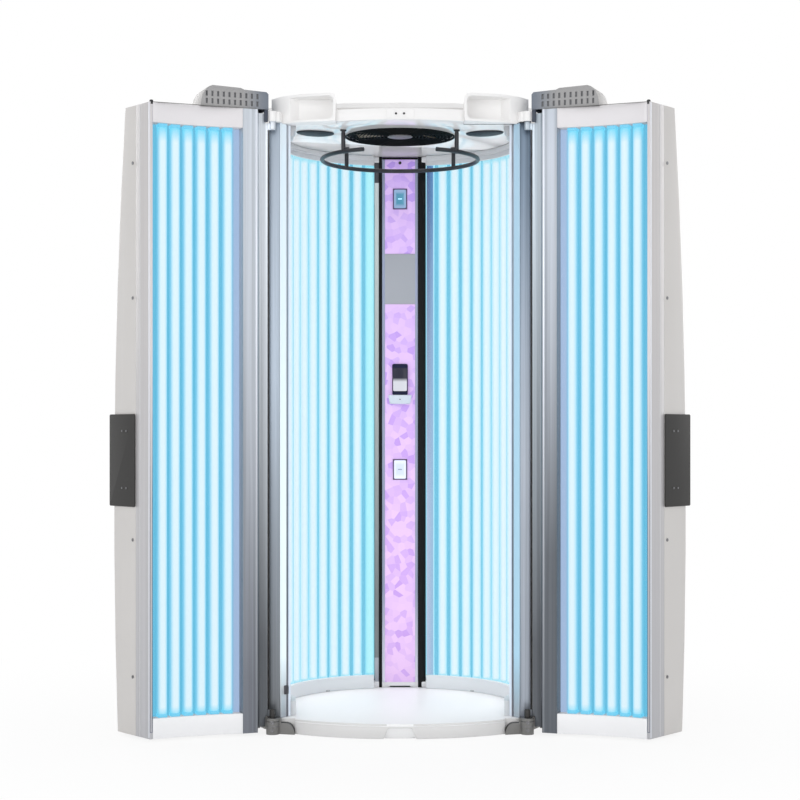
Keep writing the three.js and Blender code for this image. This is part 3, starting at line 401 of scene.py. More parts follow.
def facetGroup():  # flat facets of uneven outline, each with its own tone and a fine seam
    group, start, end = newGroup("facetTone", {"Scale": 20}, ("Tone", "Seam"))
    split = axes(group)
    flat = add(group, "ShaderNodeCombineXYZ", X=split["X"], Y=split["Z"])
    cells = add(group, "ShaderNodeTexVoronoi", voronoi_dimensions="2D", Randomness=0.85)
    seams = add(group, "ShaderNodeTexVoronoi", voronoi_dimensions="2D", feature="DISTANCE_TO_EDGE", Randomness=0.85)
    for texture in (cells, seams):
        wire(group, flat.outputs[0], texture.inputs["Vector"])
        wire(group, start.outputs["Scale"], texture.inputs["Scale"])
    tone = add(group, "ShaderNodeSeparateColor")
    wire(group, cells.outputs["Color"], tone.inputs[0])
    wire(group, tone.outputs[0], end.inputs["Tone"])
    wire(group, mathNode(group, "SUBTRACT", 1, mathNode(group, "MULTIPLY", seams.outputs["Distance"], 22, True)),
         end.inputs["Seam"])
    return group


def holeGroup():  # rows of round holes
    group, start, end = newGroup("pinHoles", {"Pitch": 0.006, "Radius": 0.3}, ("Hole",))
    place = add(group, "ShaderNodeTexCoord")
    rows = add(group, "ShaderNodeTexVoronoi", Randomness=0.0)
    wire(group, place.outputs["Object"], rows.inputs["Vector"])
    wire(group, mathNode(group, "DIVIDE", 1, start.outputs["Pitch"]), rows.inputs["Scale"])
    inside = mathNode(group, "SUBTRACT", start.outputs["Radius"], rows.outputs["Distance"])
    wire(group, mathNode(group, "MULTIPLY", inside, 12, True), end.inputs["Hole"])
    return group


groups = {"grain": grainGroup(), "brush": brushGroup(), "fade": fadeGroup(), "glow": glowGroup(),
          "facet": facetGroup(), "hole": holeGroup()}


def newFinish(name, sockets):
    finish = bpy.data.materials.new(name)
    finish.use_nodes = True
    shader = finish.node_tree.nodes["Principled BSDF"]
    for label, value in sockets.items():
        shader.inputs[label].default_value = value
    return finish, finish.node_tree, shader


def use(tree, name, **inputs):
    node = tree.nodes.new("ShaderNodeGroup")
    node.node_tree = groups[name]
    for label, value in inputs.items():
        if isinstance(value, bpy.types.NodeSocket):
            tree.links.new(value, node.inputs[label])
        else:
            node.inputs[label].default_value = value
    return node


def rising(tree, low, high):
    return use(tree, "fade", Low=low, High=high).outputs["Share"]


def rough(tree, shader, tone, middle, spread):
    wire(tree, mathNode(tree, "ADD", mathNode(tree, "MULTIPLY", tone, spread), middle - spread / 2),
         shader.inputs["Roughness"])


def bump(tree, shader, height, strength, distance=0.0004):
    node = add(tree, "ShaderNodeBump", Strength=strength, Distance=distance)
    wire(tree, height, node.inputs["Height"])
    wire(tree, node.outputs[0], shader.inputs["Normal"])


def paint(name, colour, roughness, drift=0.05, grain=700, strength=0.12, **sockets):
    finish, tree, shader = newFinish(name, sockets)
    texture = use(tree, "grain", Scale=grain)
    low = tuple(value * (1 - drift) for value in colour)
    high = tuple(min(value * (1 + drift), 1) for value in colour)
    wire(tree, mixColor(tree, texture.outputs["Tone"], low, high), shader.inputs["Base Color"])
    rough(tree, shader, texture.outputs["Tone"], roughness, 0.08)
    bump(tree, shader, texture.outputs["Height"], strength)
    return finish


def metal(name, low, high, roughness, span=(0, 2), lines=600, streak=0.12, strength=0.1, bands=0, **sockets):
    finish, tree, shader = newFinish(name, sockets)
    # painted light and shade: the colour runs from the low colour to the high one over the span of heights, and the
    # bands below are painted reflection
    share = rising(tree, span[0], span[1])
    line = use(tree, "brush", Scale=lines).outputs["Line"]
    base = mixColor(tree, share, low, high)
    dark = mixColor(tree, 1.0, base, (1 - streak,) * 3, "MULTIPLY")
    tone = mixColor(tree, line, dark, base)
    if bands:  # broad pale and dark bands, as a drawn profile mirrors its surroundings
        broad = use(tree, "brush", Scale=70).outputs["Line"]
        share = mathNode(tree, "MULTIPLY", mathNode(tree, "SUBTRACT", broad, 0.36), 3.4, True)
        tone = mixColor(tree, share, mixColor(tree, 1.0, tone, (1 - bands,) * 3, "MULTIPLY"), tone)
    wire(tree, tone, shader.inputs["Base Color"])
    rough(tree, shader, line, roughness, 0.1)
    bump(tree, shader, line, strength, 0.0002)
    return finish


# finishes; colours are picture values
# shellWhite and housingWhite are one white paint in two brightnesses: the darker is painted shade, the paler painted
# light
shellWhite = paint("shellWhite", srgb(213, 210, 207), 0.45)
housingWhite = paint("housingWhite", srgb(243, 242, 241), 0.42)
trimWhite = paint("trimWhite", srgb(216, 216, 218), 0.36)
# stripLow and stripHigh are one white in two brightnesses: the door's top strip is painted darker, painted shade
stripLow = paint("stripLow", srgb(246, 246, 247), 0.34)
stripHigh = paint("stripHigh", srgb(226, 223, 225), 0.34)
platformWhite = paint("platformWhite", srgb(250, 250, 250), 0.45, drift=0.02)
ceilingGloss = paint("ceilingGloss", srgb(242, 242, 242), 0.06, strength=0.01, IOR=1.45)
plateGrey = paint("plateGrey", srgb(156, 160, 168), 0.4)
# skirtLow and skirtHigh are one white in two brightnesses: the upper skirt is painted darker, painted shade
skirtLow = paint("skirtLow", srgb(210, 214, 217), 0.36)
skirtHigh = paint("skirtHigh", srgb(192, 194, 197), 0.36)
lipWhite = paint("lipWhite", srgb(222, 221, 220), 0.42)
castingTopShade = paint("castingTopShade", srgb(66, 66, 64), 0.55, grain=420, strength=0.35)
hoodPale = paint("hoodPale", srgb(190, 188, 186), 0.5)
blackPlastic = paint("blackPlastic", srgb(9, 9, 11), 0.55, **{"Specular IOR Level": 0.2})
castingGrey = paint("castingGrey", srgb(119, 118, 116), 0.5, grain=420, strength=0.35)
handleGrey = paint("handleGrey", srgb(44, 43, 42), 0.6)
ringGrey = paint("ringGrey", srgb(37, 37, 42), 0.4)
fanGrey = paint("fanGrey", srgb(12, 10, 9), 0.6, **{"Specular IOR Level": 0.12})
shadedBracketSlate = paint("shadedBracketSlate", srgb(58, 66, 80), 0.55)
rotorGrey = paint("rotorGrey", srgb(142, 130, 112), 0.5)
sealBlackAndShade = paint("sealBlackAndShade", srgb(70, 70, 74), 0.6)
deepBlack = paint("deepBlack", srgb(18, 19, 22), 0.5)


def pairMetal(name, roughness, metallic, **tones):  # each side: low and high colour, their heights, bands
    return {side: metal(side + name, srgb(*low), srgb(*high), roughness, span, bands=bands, Metallic=metallic)
            for side, (low, high, span, bands) in tones.items()}


# each side has its own tones of the same metal: painted light and shade, the left and right sides lit differently
aluminium = pairMetal("Aluminium", 0.40, 0.5, left=((132, 136, 145), (212, 219, 228), (0.2, 2.0), 0.30),
                      right=((110, 115, 122), (190, 197, 207), (0.6, 1.95), 0.30))
hingeLightAndShade = pairMetal("HingeLightAndShade", 0.36, 0.45, left=((96, 100, 105), (234, 241, 249), (0.3, 2.0), 0.34),
                       right=((94, 98, 104), (204, 216, 226), (0.3, 2.0), 0.34))
uprightMetal = pairMetal("Upright", 0.34, 0.5, left=((130, 134, 139), (174, 186, 200), (0.1, 1.2), 0.28),
                         right=((186, 194, 206), (136, 154, 174), (0.9, 1.9), 0.36))
edgeMetal = metal("edgeMetal", srgb(196, 196, 200), srgb(212, 209, 209), 0.36, (0.1, 1.6), bands=0.10, Metallic=0.3)
steel = metal("steel", srgb(128, 128, 130), srgb(150, 151, 154), 0.3, lines=900, Metallic=0.85)


# without a front, a lamp is brightest on the side towards the entrance
def lampFinish(name, front, core, middle, edge, tip, low, high, ends, light, width):
    finish, tree, shader = newFinish(name, {"Base Color": (0.03, 0.035, 0.04, 1), "Roughness": 0.4,
                                            "Emission Strength": 0.97})
    place = add(tree, "ShaderNodeTexCoord")
    towards = add(tree, "ShaderNodeVectorMath", operation="NORMALIZE")
    if front:
        towards.inputs[0].default_value = front
    else:
        flat = add(tree, "ShaderNodeVectorMath", operation="MULTIPLY_ADD")
        flat.inputs[1].default_value = (-1, -1, 0)
        flat.inputs[2].default_value = (0, -3.0, 0)
        wire(tree, place.outputs["Object"], flat.inputs[0])
        wire(tree, flat.outputs[0], towards.inputs[0])
    seen = add(tree, "ShaderNodeVectorMath", operation="DOT_PRODUCT")
    wire(tree, place.outputs["Normal"], seen.inputs[0])
    wire(tree, towards.outputs[0], seen.inputs[1])
    foot = rising(tree, low + ends[0], low + ends[0] * 0.1)
    head = rising(tree, high - ends[1], high - ends[1] * 0.2)
    glow = use(tree, "glow", Facing=mathNode(tree, "MULTIPLY", seen.outputs["Value"], width),
               Ends=mathNode(tree, "MAXIMUM", foot, head),
               Core=(*core, 1), Middle=(*middle, 1), Edge=(*edge, 1), Tip=(*tip, 1))
    spread(tree, shader, glow.outputs["Color"], light)
    return finish


def spread(tree, shader, colour, light):  # what falls on other surfaces is nearly white
    path = add(tree, "ShaderNodeLightPath")
    tone = mixColor(tree, path.outputs["Is Diffuse Ray"], colour, (light, light, light))
    wire(tree, tone, shader.inputs["Emission Color"])


def alongShare(tree, side, low, high):  # share of the way between two distances from a door's hinge
    start, axis = doorAxes(side)[:2]
    place = add(tree, "ShaderNodeTexCoord")
    along = add(tree, "ShaderNodeVectorMath", operation="DOT_PRODUCT")
    along.inputs[1].default_value = axis
    wire(tree, place.outputs["Object"], along.inputs[0])
    return eased(tree, along.outputs["Value"], axis.dot(start) + low, axis.dot(start) + high)


def hoodFinish(name, side):  # darker and bluer beside the hinge
    finish, tree, shader = newFinish(name, {})
    texture = use(tree, "grain", Scale=420)
    # painted shade: darker and bluer beside the hinge
    base = mixColor(tree, alongShare(tree, side, 0.01, 0.12), srgb(118, 126, 138), srgb(163, 162, 162))
    dark = mixColor(tree, 1.0, base, (0.86, 0.86, 0.86), "MULTIPLY")
    wire(tree, mixColor(tree, texture.outputs["Tone"], dark, base), shader.inputs["Base Color"])
    rough(tree, shader, texture.outputs["Tone"], 0.5, 0.08)
    bump(tree, shader, texture.outputs["Height"], 0.3)
    return finish


def reflectorFinish(name, low, high, strength, side=None):  # a door's sheet turns lavender beside the hinge profile
    finish, tree, shader = newFinish(name, {"Roughness": 0.4, "Metallic": 0.2, "Emission Strength": strength})
    shader.inputs["Base Color"].default_value = (*srgb(50, 74, 90), 1)
    line = use(tree, "brush", Scale=90).outputs["Line"]
    # painted light: the sheet glows with the lamps' light, and a door's sheet turns lavender beside the hinge profile
    tone = mixColor(tree, line, low, high)
    if side:
        tone = mixColor(tree, alongShare(tree, side, 0.136, 0.118), tone, srgb(158, 181, 217))
    spread(tree, shader, tone, 0.5)
    return finish


def acrylicFinish(name):  # clear sheet, a little milkier in the middle of its drift
    finish, tree, shader = newFinish(name, {"Roughness": 0.08, "Base Color": (0.82, 0.93, 1, 1)})
    tone = use(tree, "grain", Scale=300).outputs["Tone"]
    wire(tree, mathNode(tree, "ADD", mathNode(tree, "MULTIPLY", tone, 0.02), 0.015), shader.inputs["Alpha"])
    return finish


acrylicClear = acrylicFinish("acrylicClear")
doorReflector = {side: reflectorFinish(side + "DoorReflector", srgb(82, 184, 220), srgb(98, 196, 230), 0.85, side)
                 for side in sides}
cabinReflector = reflectorFinish("cabinReflector", srgb(84, 182, 216), srgb(112, 200, 224), 0.85)

# soft studio: pale floor that keeps the shadow, even light from the front, weaker light behind
studio = {"ambient": 0.62, "floor": 9.0, "aim": (0, 0, 1.1),
          "fade": {"From Min": 0.7, "From Max": 2.4, "To Min": 0.86, "To Max": 1.0},
          "lights": (((-2.6, -5.6, 2.4), 4.0, 90), ((3.2, -5.2, 2.0), 4.0, 55), ((0, 0.2, 5.2), 3.5, 16),
                     ((-3.2, 3.8, 3.0), 3.0, 70), ((3.4, 3.6, 2.4), 3.0, 55))}


def seenDirectly(tree):  # 1 where the camera, a gloss or a clear sheet looks at the surface
    path = add(tree, "ShaderNodeLightPath")
    both = mathNode(tree, "ADD", path.outputs["Is Camera Ray"], path.outputs["Is Glossy Ray"], True)
    return mathNode(tree, "ADD", both, path.outputs["Is Transmission Ray"], True)


def setStudio():
    world = bpy.data.worlds.new("studio")
    scene.world = world
    world.use_nodes = True
    tree = world.node_tree
    tree.nodes.clear()
    seen = add(tree, "ShaderNodeBackground", Color=(1, 1, 1, 1), Strength=1.0)
    lit = add(tree, "ShaderNodeBackground", Color=(0.97, 0.98, 1, 1), Strength=studio["ambient"])
    blend = add(tree, "ShaderNodeMixShader")
    end = add(tree, "ShaderNodeOutputWorld")
    wire(tree, seenDirectly(tree), blend.inputs[0])
    wire(tree, lit.outputs[0], blend.inputs[1])
    wire(tree, seen.outputs[0], blend.inputs[2])
    wire(tree, blend.outputs[0], end.inputs[0])
    deselect()
    bpy.ops.mesh.primitive_plane_add(size=studio["floor"] * 2, location=(0, 0, -0.001))
    floor = bpy.context.object
    floor.name = "floor"
    ground, tree, shader = newFinish("paleFloor", {"Base Color": (0.9, 0.9, 0.9, 1), "Roughness": 0.9})
    white = add(tree, "ShaderNodeEmission", Color=(1, 1, 1, 1), Strength=1.0)
    blend = add(tree, "ShaderNodeMixShader")
    place = add(tree, "ShaderNodeTexCoord")
    away = add(tree, "ShaderNodeVectorMath", operation="LENGTH")
    wire(tree, place.outputs["Object"], away.inputs[0])
    far = add(tree, "ShaderNodeMapRange", interpolation_type="SMOOTHSTEP", Value=away.outputs["Value"],
              **studio["fade"])
    wire(tree, mathNode(tree, "MULTIPLY", seenDirectly(tree), far.outputs[0]), blend.inputs[0])
    wire(tree, shader.outputs[0], blend.inputs[1])
    wire(tree, white.outputs[0], blend.inputs[2])
    wire(tree, blend.outputs[0], tree.nodes["Material Output"].inputs[0])
    floor.data.materials.append(ground)
    for index, (place, size, power) in enumerate(studio["lights"]):
        data = bpy.data.lights.new("softLight%d" % index, "AREA")
        data.size = size
        data.energy = power
        lamp = bpy.data.objects.new("softLight%d" % index, data)
        lamp.location = place
        lamp.rotation_euler = (Vector(studio["aim"]) - Vector(place)).to_track_quat("-Z", "Y").to_euler()
        scene.collection.objects.link(lamp)


setStudio()
print("studio set")

# lamps: one tube is modelled and copied into each bank
cabinLamp = {"radius": 0.017, "circle": 0.445, "count": 16, "first": 15.0, "last": 111.0, "low": 0.0663, "high": 2.0517,
             "rail": (0.4252, 0.4646), "railFrom": 11.6, "railTo": 113.6, "railHeight": 0.0216, "floor": 0.0505,
             "top": 2.0675, "cap": 0.024}
doorLamp = {"radius": 0.017, "first": 0.151, "pitch": 0.045, "count": 6, "behind": 0.0226, "low": 0.0813,
            "high": 2.0347, "cap": 0.010, "bow": 0.015, "middle": 0.259, "reach": 0.155,
            "floor": 0.0755, "roof": 2.0405, "socket": (0.0150, 0.0400, 0.0105)}


def faceDepth(along):  # the acrylic bows back in the middle of the window
    share = (along - doorLamp["middle"]) / doorLamp["reach"]
    return max(0, doorLamp["bow"] * (1 - share * share))


def lampTube(name, spec, glow):
    cap = spec["cap"]
    low, high = spec["low"] + cap, spec["high"] - cap
    tube = drum(name, spec["radius"], high - low, (0, 0, (low + high) / 2), 20)
    for sign in (1, -1):
        shape(tube, facing(2, sign), inset(0.0006), pull(0, 0, sign * cap * 0.4),
              inset(0.004), pull(0, 0, sign * cap * 0.6))
    tube.data.materials.append(glow)
    tube.data.materials.append(steel)
    for face in tube.data.polygons:
        face.material_index = 0 if abs(face.normal.z) < 0.5 else 1
    return soften(tube, 0, smooth=50)


def curvedRail(name, low, high):  # socket rail swept round the cabin's middle
    inner, outer = cabinLamp["rail"]
    deselect()
    bpy.ops.mesh.primitive_plane_add(size=1, location=(0, (inner + outer) / 2, (low + high) / 2),
                                     rotation=(math.radians(90), 0, math.radians(90)))
    rail = bpy.context.object
    rail.name = name
    rail.scale = (outer - inner, high - low, 1)
    settle(rail)
    swept(rail, cabinLamp["railFrom"], cabinLamp["railFrom"] - cabinLamp["railTo"], 34)
    return soften(rail, 0.002, smooth=30)



def lampTones(*colours):
    return {name: srgb(*colour) for name, colour in zip(("core", "middle", "edge", "tip"), colours)}


lampColours = lampTones((217, 240, 249), (168, 224, 246), (108, 194, 228), (100, 214, 246))
cabinColours = lampTones((221, 242, 250), (184, 231, 247), (118, 204, 230), (160, 226, 243))
socketColours = lampTones((98, 208, 242), (92, 198, 236), (84, 186, 226), (94, 202, 238))
cyanColours = lampTones((170, 240, 248), (160, 234, 246), (124, 212, 232), (124, 216, 238))


def fillCabinLamps():
    cabinEnds = {"low": 0.10, "high": 2.034, "ends": (0.008, 0.016), "light": 1.7, "width": 0.88}
    cyan = lampFinish("cyanLampGlow", None, **cabinEnds, **cyanColours)
    tube = lampTube("cabin_lamp", cabinLamp, lampFinish("cabinLampGlow", None, **cabinEnds, **cabinColours))
    lowRail = curvedRail("low_rail", cabinLamp["floor"], cabinLamp["floor"] + cabinLamp["railHeight"])
    highRail = curvedRail("high_rail", cabinLamp["top"] - cabinLamp["railHeight"], cabinLamp["top"])
    step = (cabinLamp["last"] - cabinLamp["first"]) / (cabinLamp["count"] - 1)
    for side in sides:
        bank = []
        for index in range(cabinLamp["count"]):
            angle = math.radians(cabinLamp["first"] + index * step)
            place = (mirror[side] * cabinLamp["circle"] * math.sin(angle), cabinLamp["circle"] * math.cos(angle), 0)
            bank.append(copyOf(tube, place))
        if side == "left":
            bank[0].data.materials[0] = cyan  # the lamp beside the column looks greener
        for rail in (lowRail, highRail):
            twin = copyOf(rail)
            wanted = mirror[side] > 0
            if (sum(v.co.x for v in twin.data.vertices) > 0) != wanted:
                shape(twin, everything, stretchAcross, outward)
            twin.data.materials.append(trimWhite)
            bank.append(twin)
        whole = joinAll(side + "_cabin_lamps", bank)
        dress(whole, "cabin", "lamp")
        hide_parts(side + "_cabin_lamp_bank")
    drop(tube, lowRail, highRail)


def fillDoorLamps():
    half, back, tall = doorLamp["socket"]
    socket = block("socket", (-half, 0.0070, 0), (half, back, tall))
    shape(socket, lambda c, n: abs(n.z) > 0.9, inset(0.0025))
    soften(socket, 0.0006)
    # painted light: the sockets glow in the lamps' colours, though they are no lamps
    socket.data.materials.append(lampFinish("socketGlow", None, low=0.0, high=2.1, ends=(0.2, 0.2), light=0.3,
                                            width=0.6, **socketColours))
    tube = lampTube("door_lamp", doorLamp, steel)
    for side in sides:
        front = -doorAxes(side)[2]
        tube.data.materials[0] = lampFinish(side + "DoorLampGlow", tuple(front), low=0.075, high=2.041,
                                            ends=(0.034, 0.060), light=0.62, width=0.9, **lampColours)
        bank = []
        for index in range(doorLamp["count"]):
            along = doorLamp["first"] + index * doorLamp["pitch"]
            bank.append(copyOf(tube, doorPlace(side, along, faceDepth(along) + doorLamp["behind"], 0)))
            for low in (doorLamp["floor"], doorLamp["roof"] - doorLamp["socket"][2]):
                bank.append(ontoDoor(socket, side))
                move = doorPlace(side, along, faceDepth(along), low) - doorAxes(side)[0]
                bank[-1].data.transform(Matrix.Translation(move))
        whole = joinAll(side + "_door_lamps", bank)
        dress(whole, side + "_door", "lamp")
        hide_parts(side + "_door_lamp_bank")
    drop(tube, socket)


def stretchAcross():
    bpy.ops.transform.resize(value=(-1, 1, 1), center_override=(0, 0, 0))


def setFinishes(piece, *finishes):
    for index, finish in enumerate(finishes):
        if index < len(piece.data.materials):
            piece.data.materials[index] = finish
        else:
            piece.data.materials.append(finish)


fillCabinLamps()
fillDoorLamps()
print("lamps in place")

# column fittings
column = {"half": 0.068, "border": 0.0105, "face": 0.4200, "low": 0.0702, "high": 2.0580, "band": 2.0665,
          "facets": 40, "sensor": (2.045, 0.0058), "footLow": 0.0560, "holes": (0.163, 1.969), "headTop": 2.067}
keyRim = paint("keyRim", srgb(84, 66, 108), 0.35)
keyLook = {"rim": (0.88, 1, 0.92), "lip": (0.97, 1, 0.98), "mark": (0.015, 0.0042)}
displayLook = {"rim": (0.9, 1, 0.76), "lip": (0.985, 1, 0.99), "split": (0.050, 0.064)}


def panelFinish(name):  # lit from behind, pinker below and bluer above
    finish, tree, shader = newFinish(name, {"Roughness": 0.4, "Emission Strength": 0.06})
    facets = use(tree, "facet", Scale=column["facets"])
    rise = rising(tree, 0.3, 2.0)
    light = mixColor(tree, rise, srgb(226, 192, 234), srgb(213, 183, 236))
    dark = mixColor(tree, rise, srgb(194, 153, 225), srgb(177, 144, 225))
    tone = mixColor(tree, mathNode(tree, "POWER", facets.outputs["Tone"], 2.2), light, dark)
    lit(tree, shader, mixColor(tree, mathNode(tree, "MULTIPLY", facets.outputs["Seam"], 0.3), tone, light))
    return finish


def lensFinish(name, node, centre, rim, strength):  # glow that changes from the lens's middle to its rim
    low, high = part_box(node)
    finish, tree, shader = newFinish(name, {"Roughness": 0.2, "Emission Strength": strength})
    split = axes(tree)
    across = mathNode(tree, "DIVIDE", mathNode(tree, "ABSOLUTE", split["X"]), (high[0] - low[0]) / 2)
    rise = mathNode(tree, "SUBTRACT", split["Z"], (high[2] + low[2]) / 2)
    away = mathNode(tree, "DIVIDE", mathNode(tree, "ABSOLUTE", rise), (high[2] - low[2]) / 2)
    share = eased(tree, mathNode(tree, "MAXIMUM", across, away), 0.40, 0.75)
    lit(tree, shader, mixColor(tree, share, centre, rim))
    return finish


def screenFinish(name, node):  # a blank lit screen, dark above and pale below
    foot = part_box(node)[0][2]
    finish, tree, shader = newFinish(name, {"Roughness": 0.12, "Emission Strength": 0.85, "Specular IOR Level": 0.2,
                                            "Base Color": (0.02, 0.02, 0.03, 1)})
    low, high = displayLook["split"]
    rise = rising(tree, foot + low, foot + high)
    wire(tree, mixColor(tree, rise, srgb(232, 235, 244), srgb(16, 18, 34)), shader.inputs["Emission Color"])
    return finish


def stripFinish(name):  # perforated strip, paler above
    finish, tree, shader = newFinish(name, {"Roughness": 0.5})
    rise = rising(tree, 0.4, 1.9)
    hole = use(tree, "hole", Pitch=0.0055, Radius=0.34).outputs["Hole"]
    base = mixColor(tree, rise, srgb(114, 120, 122), srgb(192, 201, 201))
    wire(tree, mixColor(tree, hole, base, srgb(60, 60, 58)), shader.inputs["Base Color"])
    bump(tree, shader, mathNode(tree, "SUBTRACT", 1, hole), 0.4)
    return finish


def paintPicked(piece, index):  # the faces still picked take another finish
    while len(piece.data.materials) <= index:
        piece.data.materials.append(None)
    for face in piece.data.polygons:
        if face.select:
            face.material_index = index


def frontFace(node):
    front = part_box(node)[0][1]
    return lambda c, n: n.y < -0.9 and c.y < front + 0.0006


def lensFace(piece, node, look, depth, edge):  # the front sinks behind a rim and takes a second finish
    shape(piece, frontFace(node), pull(0, 0, 0), stretch(*look["rim"]), pull(0, depth, 0), stretch(*look["lip"]))
    paintPicked(piece, 1)
    soften(piece, edge)


def keyPiece(node, lens, mark):
    piece = nodeCopy(node, node + "_finish")
    lensFace(piece, node, keyLook, 0.0006, 0.0004)
    dress(piece, node, "key_lens")
    setFinishes(piece, keyRim, lens)
    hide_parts(node)
    low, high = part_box(node)
    width, tall = keyLook["mark"]
    middle = (high[2] + low[2]) / 2
    bar = block(node + "_light", (-width / 2, low[1] - 0.0001, middle - tall / 2),
                (width / 2, low[1] + 0.001, middle + tall / 2))
    dress(faced(bar, 0.0008, (0, -0.0003, 0), 0.0004), node, "key_lens", mark)


def displayPiece():
    node = "media_display"
    piece = nodeCopy(node, node + "_finish")
    lensFace(piece, node, displayLook, 0.0008, 0.0008)
    dress(piece, "cabin", "screen_black")
    case = paint("navyCase", srgb(12, 20, 52), 0.4, **{"Specular IOR Level": 0.2})
    setFinishes(piece, case, screenFinish("blankScreen", node))
    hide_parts(node)


quarterTurn = Matrix.Rotation(math.radians(90), 4, "X")  # a disc on the floor turns to the front


def columnStrips():
    face, half, width = column["face"], column["half"], column["border"]
    # painted reflection: the borders turn white towards the floor, where they mirror the lit platform
    pale = metal("borderMetal", srgb(212, 214, 226), srgb(148, 156, 180), 0.35, (0.08, 0.42), Metallic=0.3)
    for sign, side in ((-1, "left"), (1, "right")):
        low, high = sorted((sign * half, sign * (half - width)))
        strip = block(side + "_column_border", (low, face - 0.0012, column["low"]),
                      (high, face + 0.003, column["high"]))
        shape(strip, towardsFront, inset(0.0022), inset(0.0006, 0.0005))
        dress(soften(strip, 0.0004), "cabin", "plate_grey", pale)
    band = block("column_top_band", (-half, face - 0.002, column["high"]), (half, face + 0.004, column["band"]))
    dress(faced(band, 0.0014, (0, 0.0008, 0), 0.0006), "cabin", "black_plastic", blackPlastic)
    foot = block("column_foot_strip", (-half + width, face - 0.001, column["footLow"]),
                 (half - width, face + 0.004, column["low"]))
    dress(faced(foot, 0.002, (0, -0.0006, 0), 0.0006), "cabin", "plate_grey", trimWhite)


def sensorEye():
    height, radius = column["sensor"]
    eye = drum("sensor_eye", radius, 0.003, (0, 0, 0), 24)
    shape(eye, upwards, inset(radius * 0.3), pull(0, 0, -0.0008), inset(radius * 0.25), pull(0, 0, 0.0006))
    soften(eye, 0.0003)
    eye.data.transform(Matrix.Translation((0, column["face"] - 0.001, height)) @ quarterTurn)
    dress(eye, "cabin", "black_plastic", deepBlack)


def airStrip():
    low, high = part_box("column_air_strip")
    foot, head = column["holes"]
    strip = block("column_air_strip_finish", (low[0], low[1], foot), (high[0], low[1] + 0.002, head))
    dress(faced(strip, 0.0012, (0, 0.0005, 0), 0.0003), "cabin", "air_strip", stripFinish("airStripHoles"))
    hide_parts("column_air_strip")
    for name, bottom, top, slot, finish in (("air_strip_foot", column["low"], foot, "plate_grey", plateGrey),
                                            ("air_strip_head", head, column["headTop"], "black_plastic", sealBlackAndShade)):
        end = block(name, (low[0], low[1] - 0.0006, bottom), (high[0], low[1] + 0.003, top))
        dress(faced(end, 0.002, (0, -0.0006, 0), 0.0005), "cabin", slot, finish)


def shelfDot():
    low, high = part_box("display_shelf")
    dot = drum("shelf_dot", 0.0022, 0.002, (0, 0, 0), 16)
    shape(dot, upwards, inset(0.0008), pull(0, 0, -0.0004))
    dot.data.transform(Matrix.Translation((0, low[1] - 0.0004, (low[2] + high[2]) / 2)) @ quarterTurn)
    dress(soften(dot, 0.0002), "cabin", "black_plastic", handleGrey)


# hoops: a small ring of edges swept round an upright axis
def hoop(name, radius, tube, centre, start=0, sweep=360, steps=72, around=10):
    deselect()
    bpy.ops.mesh.primitive_circle_add(vertices=around, radius=tube, fill_type="NGON", location=(0, radius, 0),
                                      rotation=(math.radians(90), 0, math.radians(90)))
    ring = bpy.context.object
    ring.name = name
    settle(ring)
    if sweep == 360:
        shape(ring, everything, lambda: bpy.ops.mesh.delete(type="ONLY_FACE"))
        work(ring)
        bpy.ops.object.mode_set(mode="EDIT")
        bpy.ops.mesh.select_all(action="SELECT")
        bpy.ops.mesh.spin(steps=steps, angle=math.radians(360), center=(0, 0, 0), axis=(0, 0, 1))
        bpy.ops.mesh.select_all(action="SELECT")
        outward()
        bpy.ops.object.mode_set(mode="OBJECT")
    else:
        swept(ring, start, sweep, steps)
    ring.data.transform(Matrix.Translation(centre))
    return ring


grille = {"centre": (0, -0.045), "low": 2.0668, "rings": (0.058, 0.192, 12), "wire": 0.0017, "hub": 0.044, "spokes": 8,
          "rim": 0.0036}


def fanGrille():
    x, y = grille["centre"]
    inner, outer, count = grille["rings"]
    wires = []
    for index in range(count):
        radius = inner + (outer - inner) * index / (count - 1)
        thick = grille["rim"] if index == count - 1 else grille["wire"]
        wires.append(hoop("wire", radius, thick, (x, y, grille["low"] + grille["wire"]), steps=64, around=8))
    spoke = block("spoke", (0.040, -0.0022, grille["low"] + 0.0018), (outer, 0.0022, grille["low"] + 0.0052))
    faced(spoke, 0.0008, (0, 0, -0.0006), 0.0004, downwards)
    for index in range(grille["spokes"]):
        angle = 2 * math.pi * (index + 0.5) / grille["spokes"]
        wires.append(copyOf(spoke, (x, y, 0), Matrix.Rotation(angle, 4, "Z")))
    drop(spoke)
    cage = joinAll("fan_grille_finish", wires)
    dress(soften(cage, 0), "cabin", "fan_grey", fanGrey)
    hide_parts("fan_grille")
    hub = drum("fan_grille_hub", grille["hub"], 0.006, (x, y, grille["low"] + 0.003), 40)
    shape(hub, downwards, inset(0.006), pull(0, 0, -0.0012), inset(0.02), pull(0, 0, -0.0008))
    dress(soften(hub, 0.0008), "cabin", "fan_grey", paint("hubGrey", srgb(112, 110, 112), 0.42))


grab = {"radius": 0.278, "tube": 0.0075, "height": 1.993, "gap": 26.8, "top": 2.0682, "post": 0.0074, "flange": 0.011}


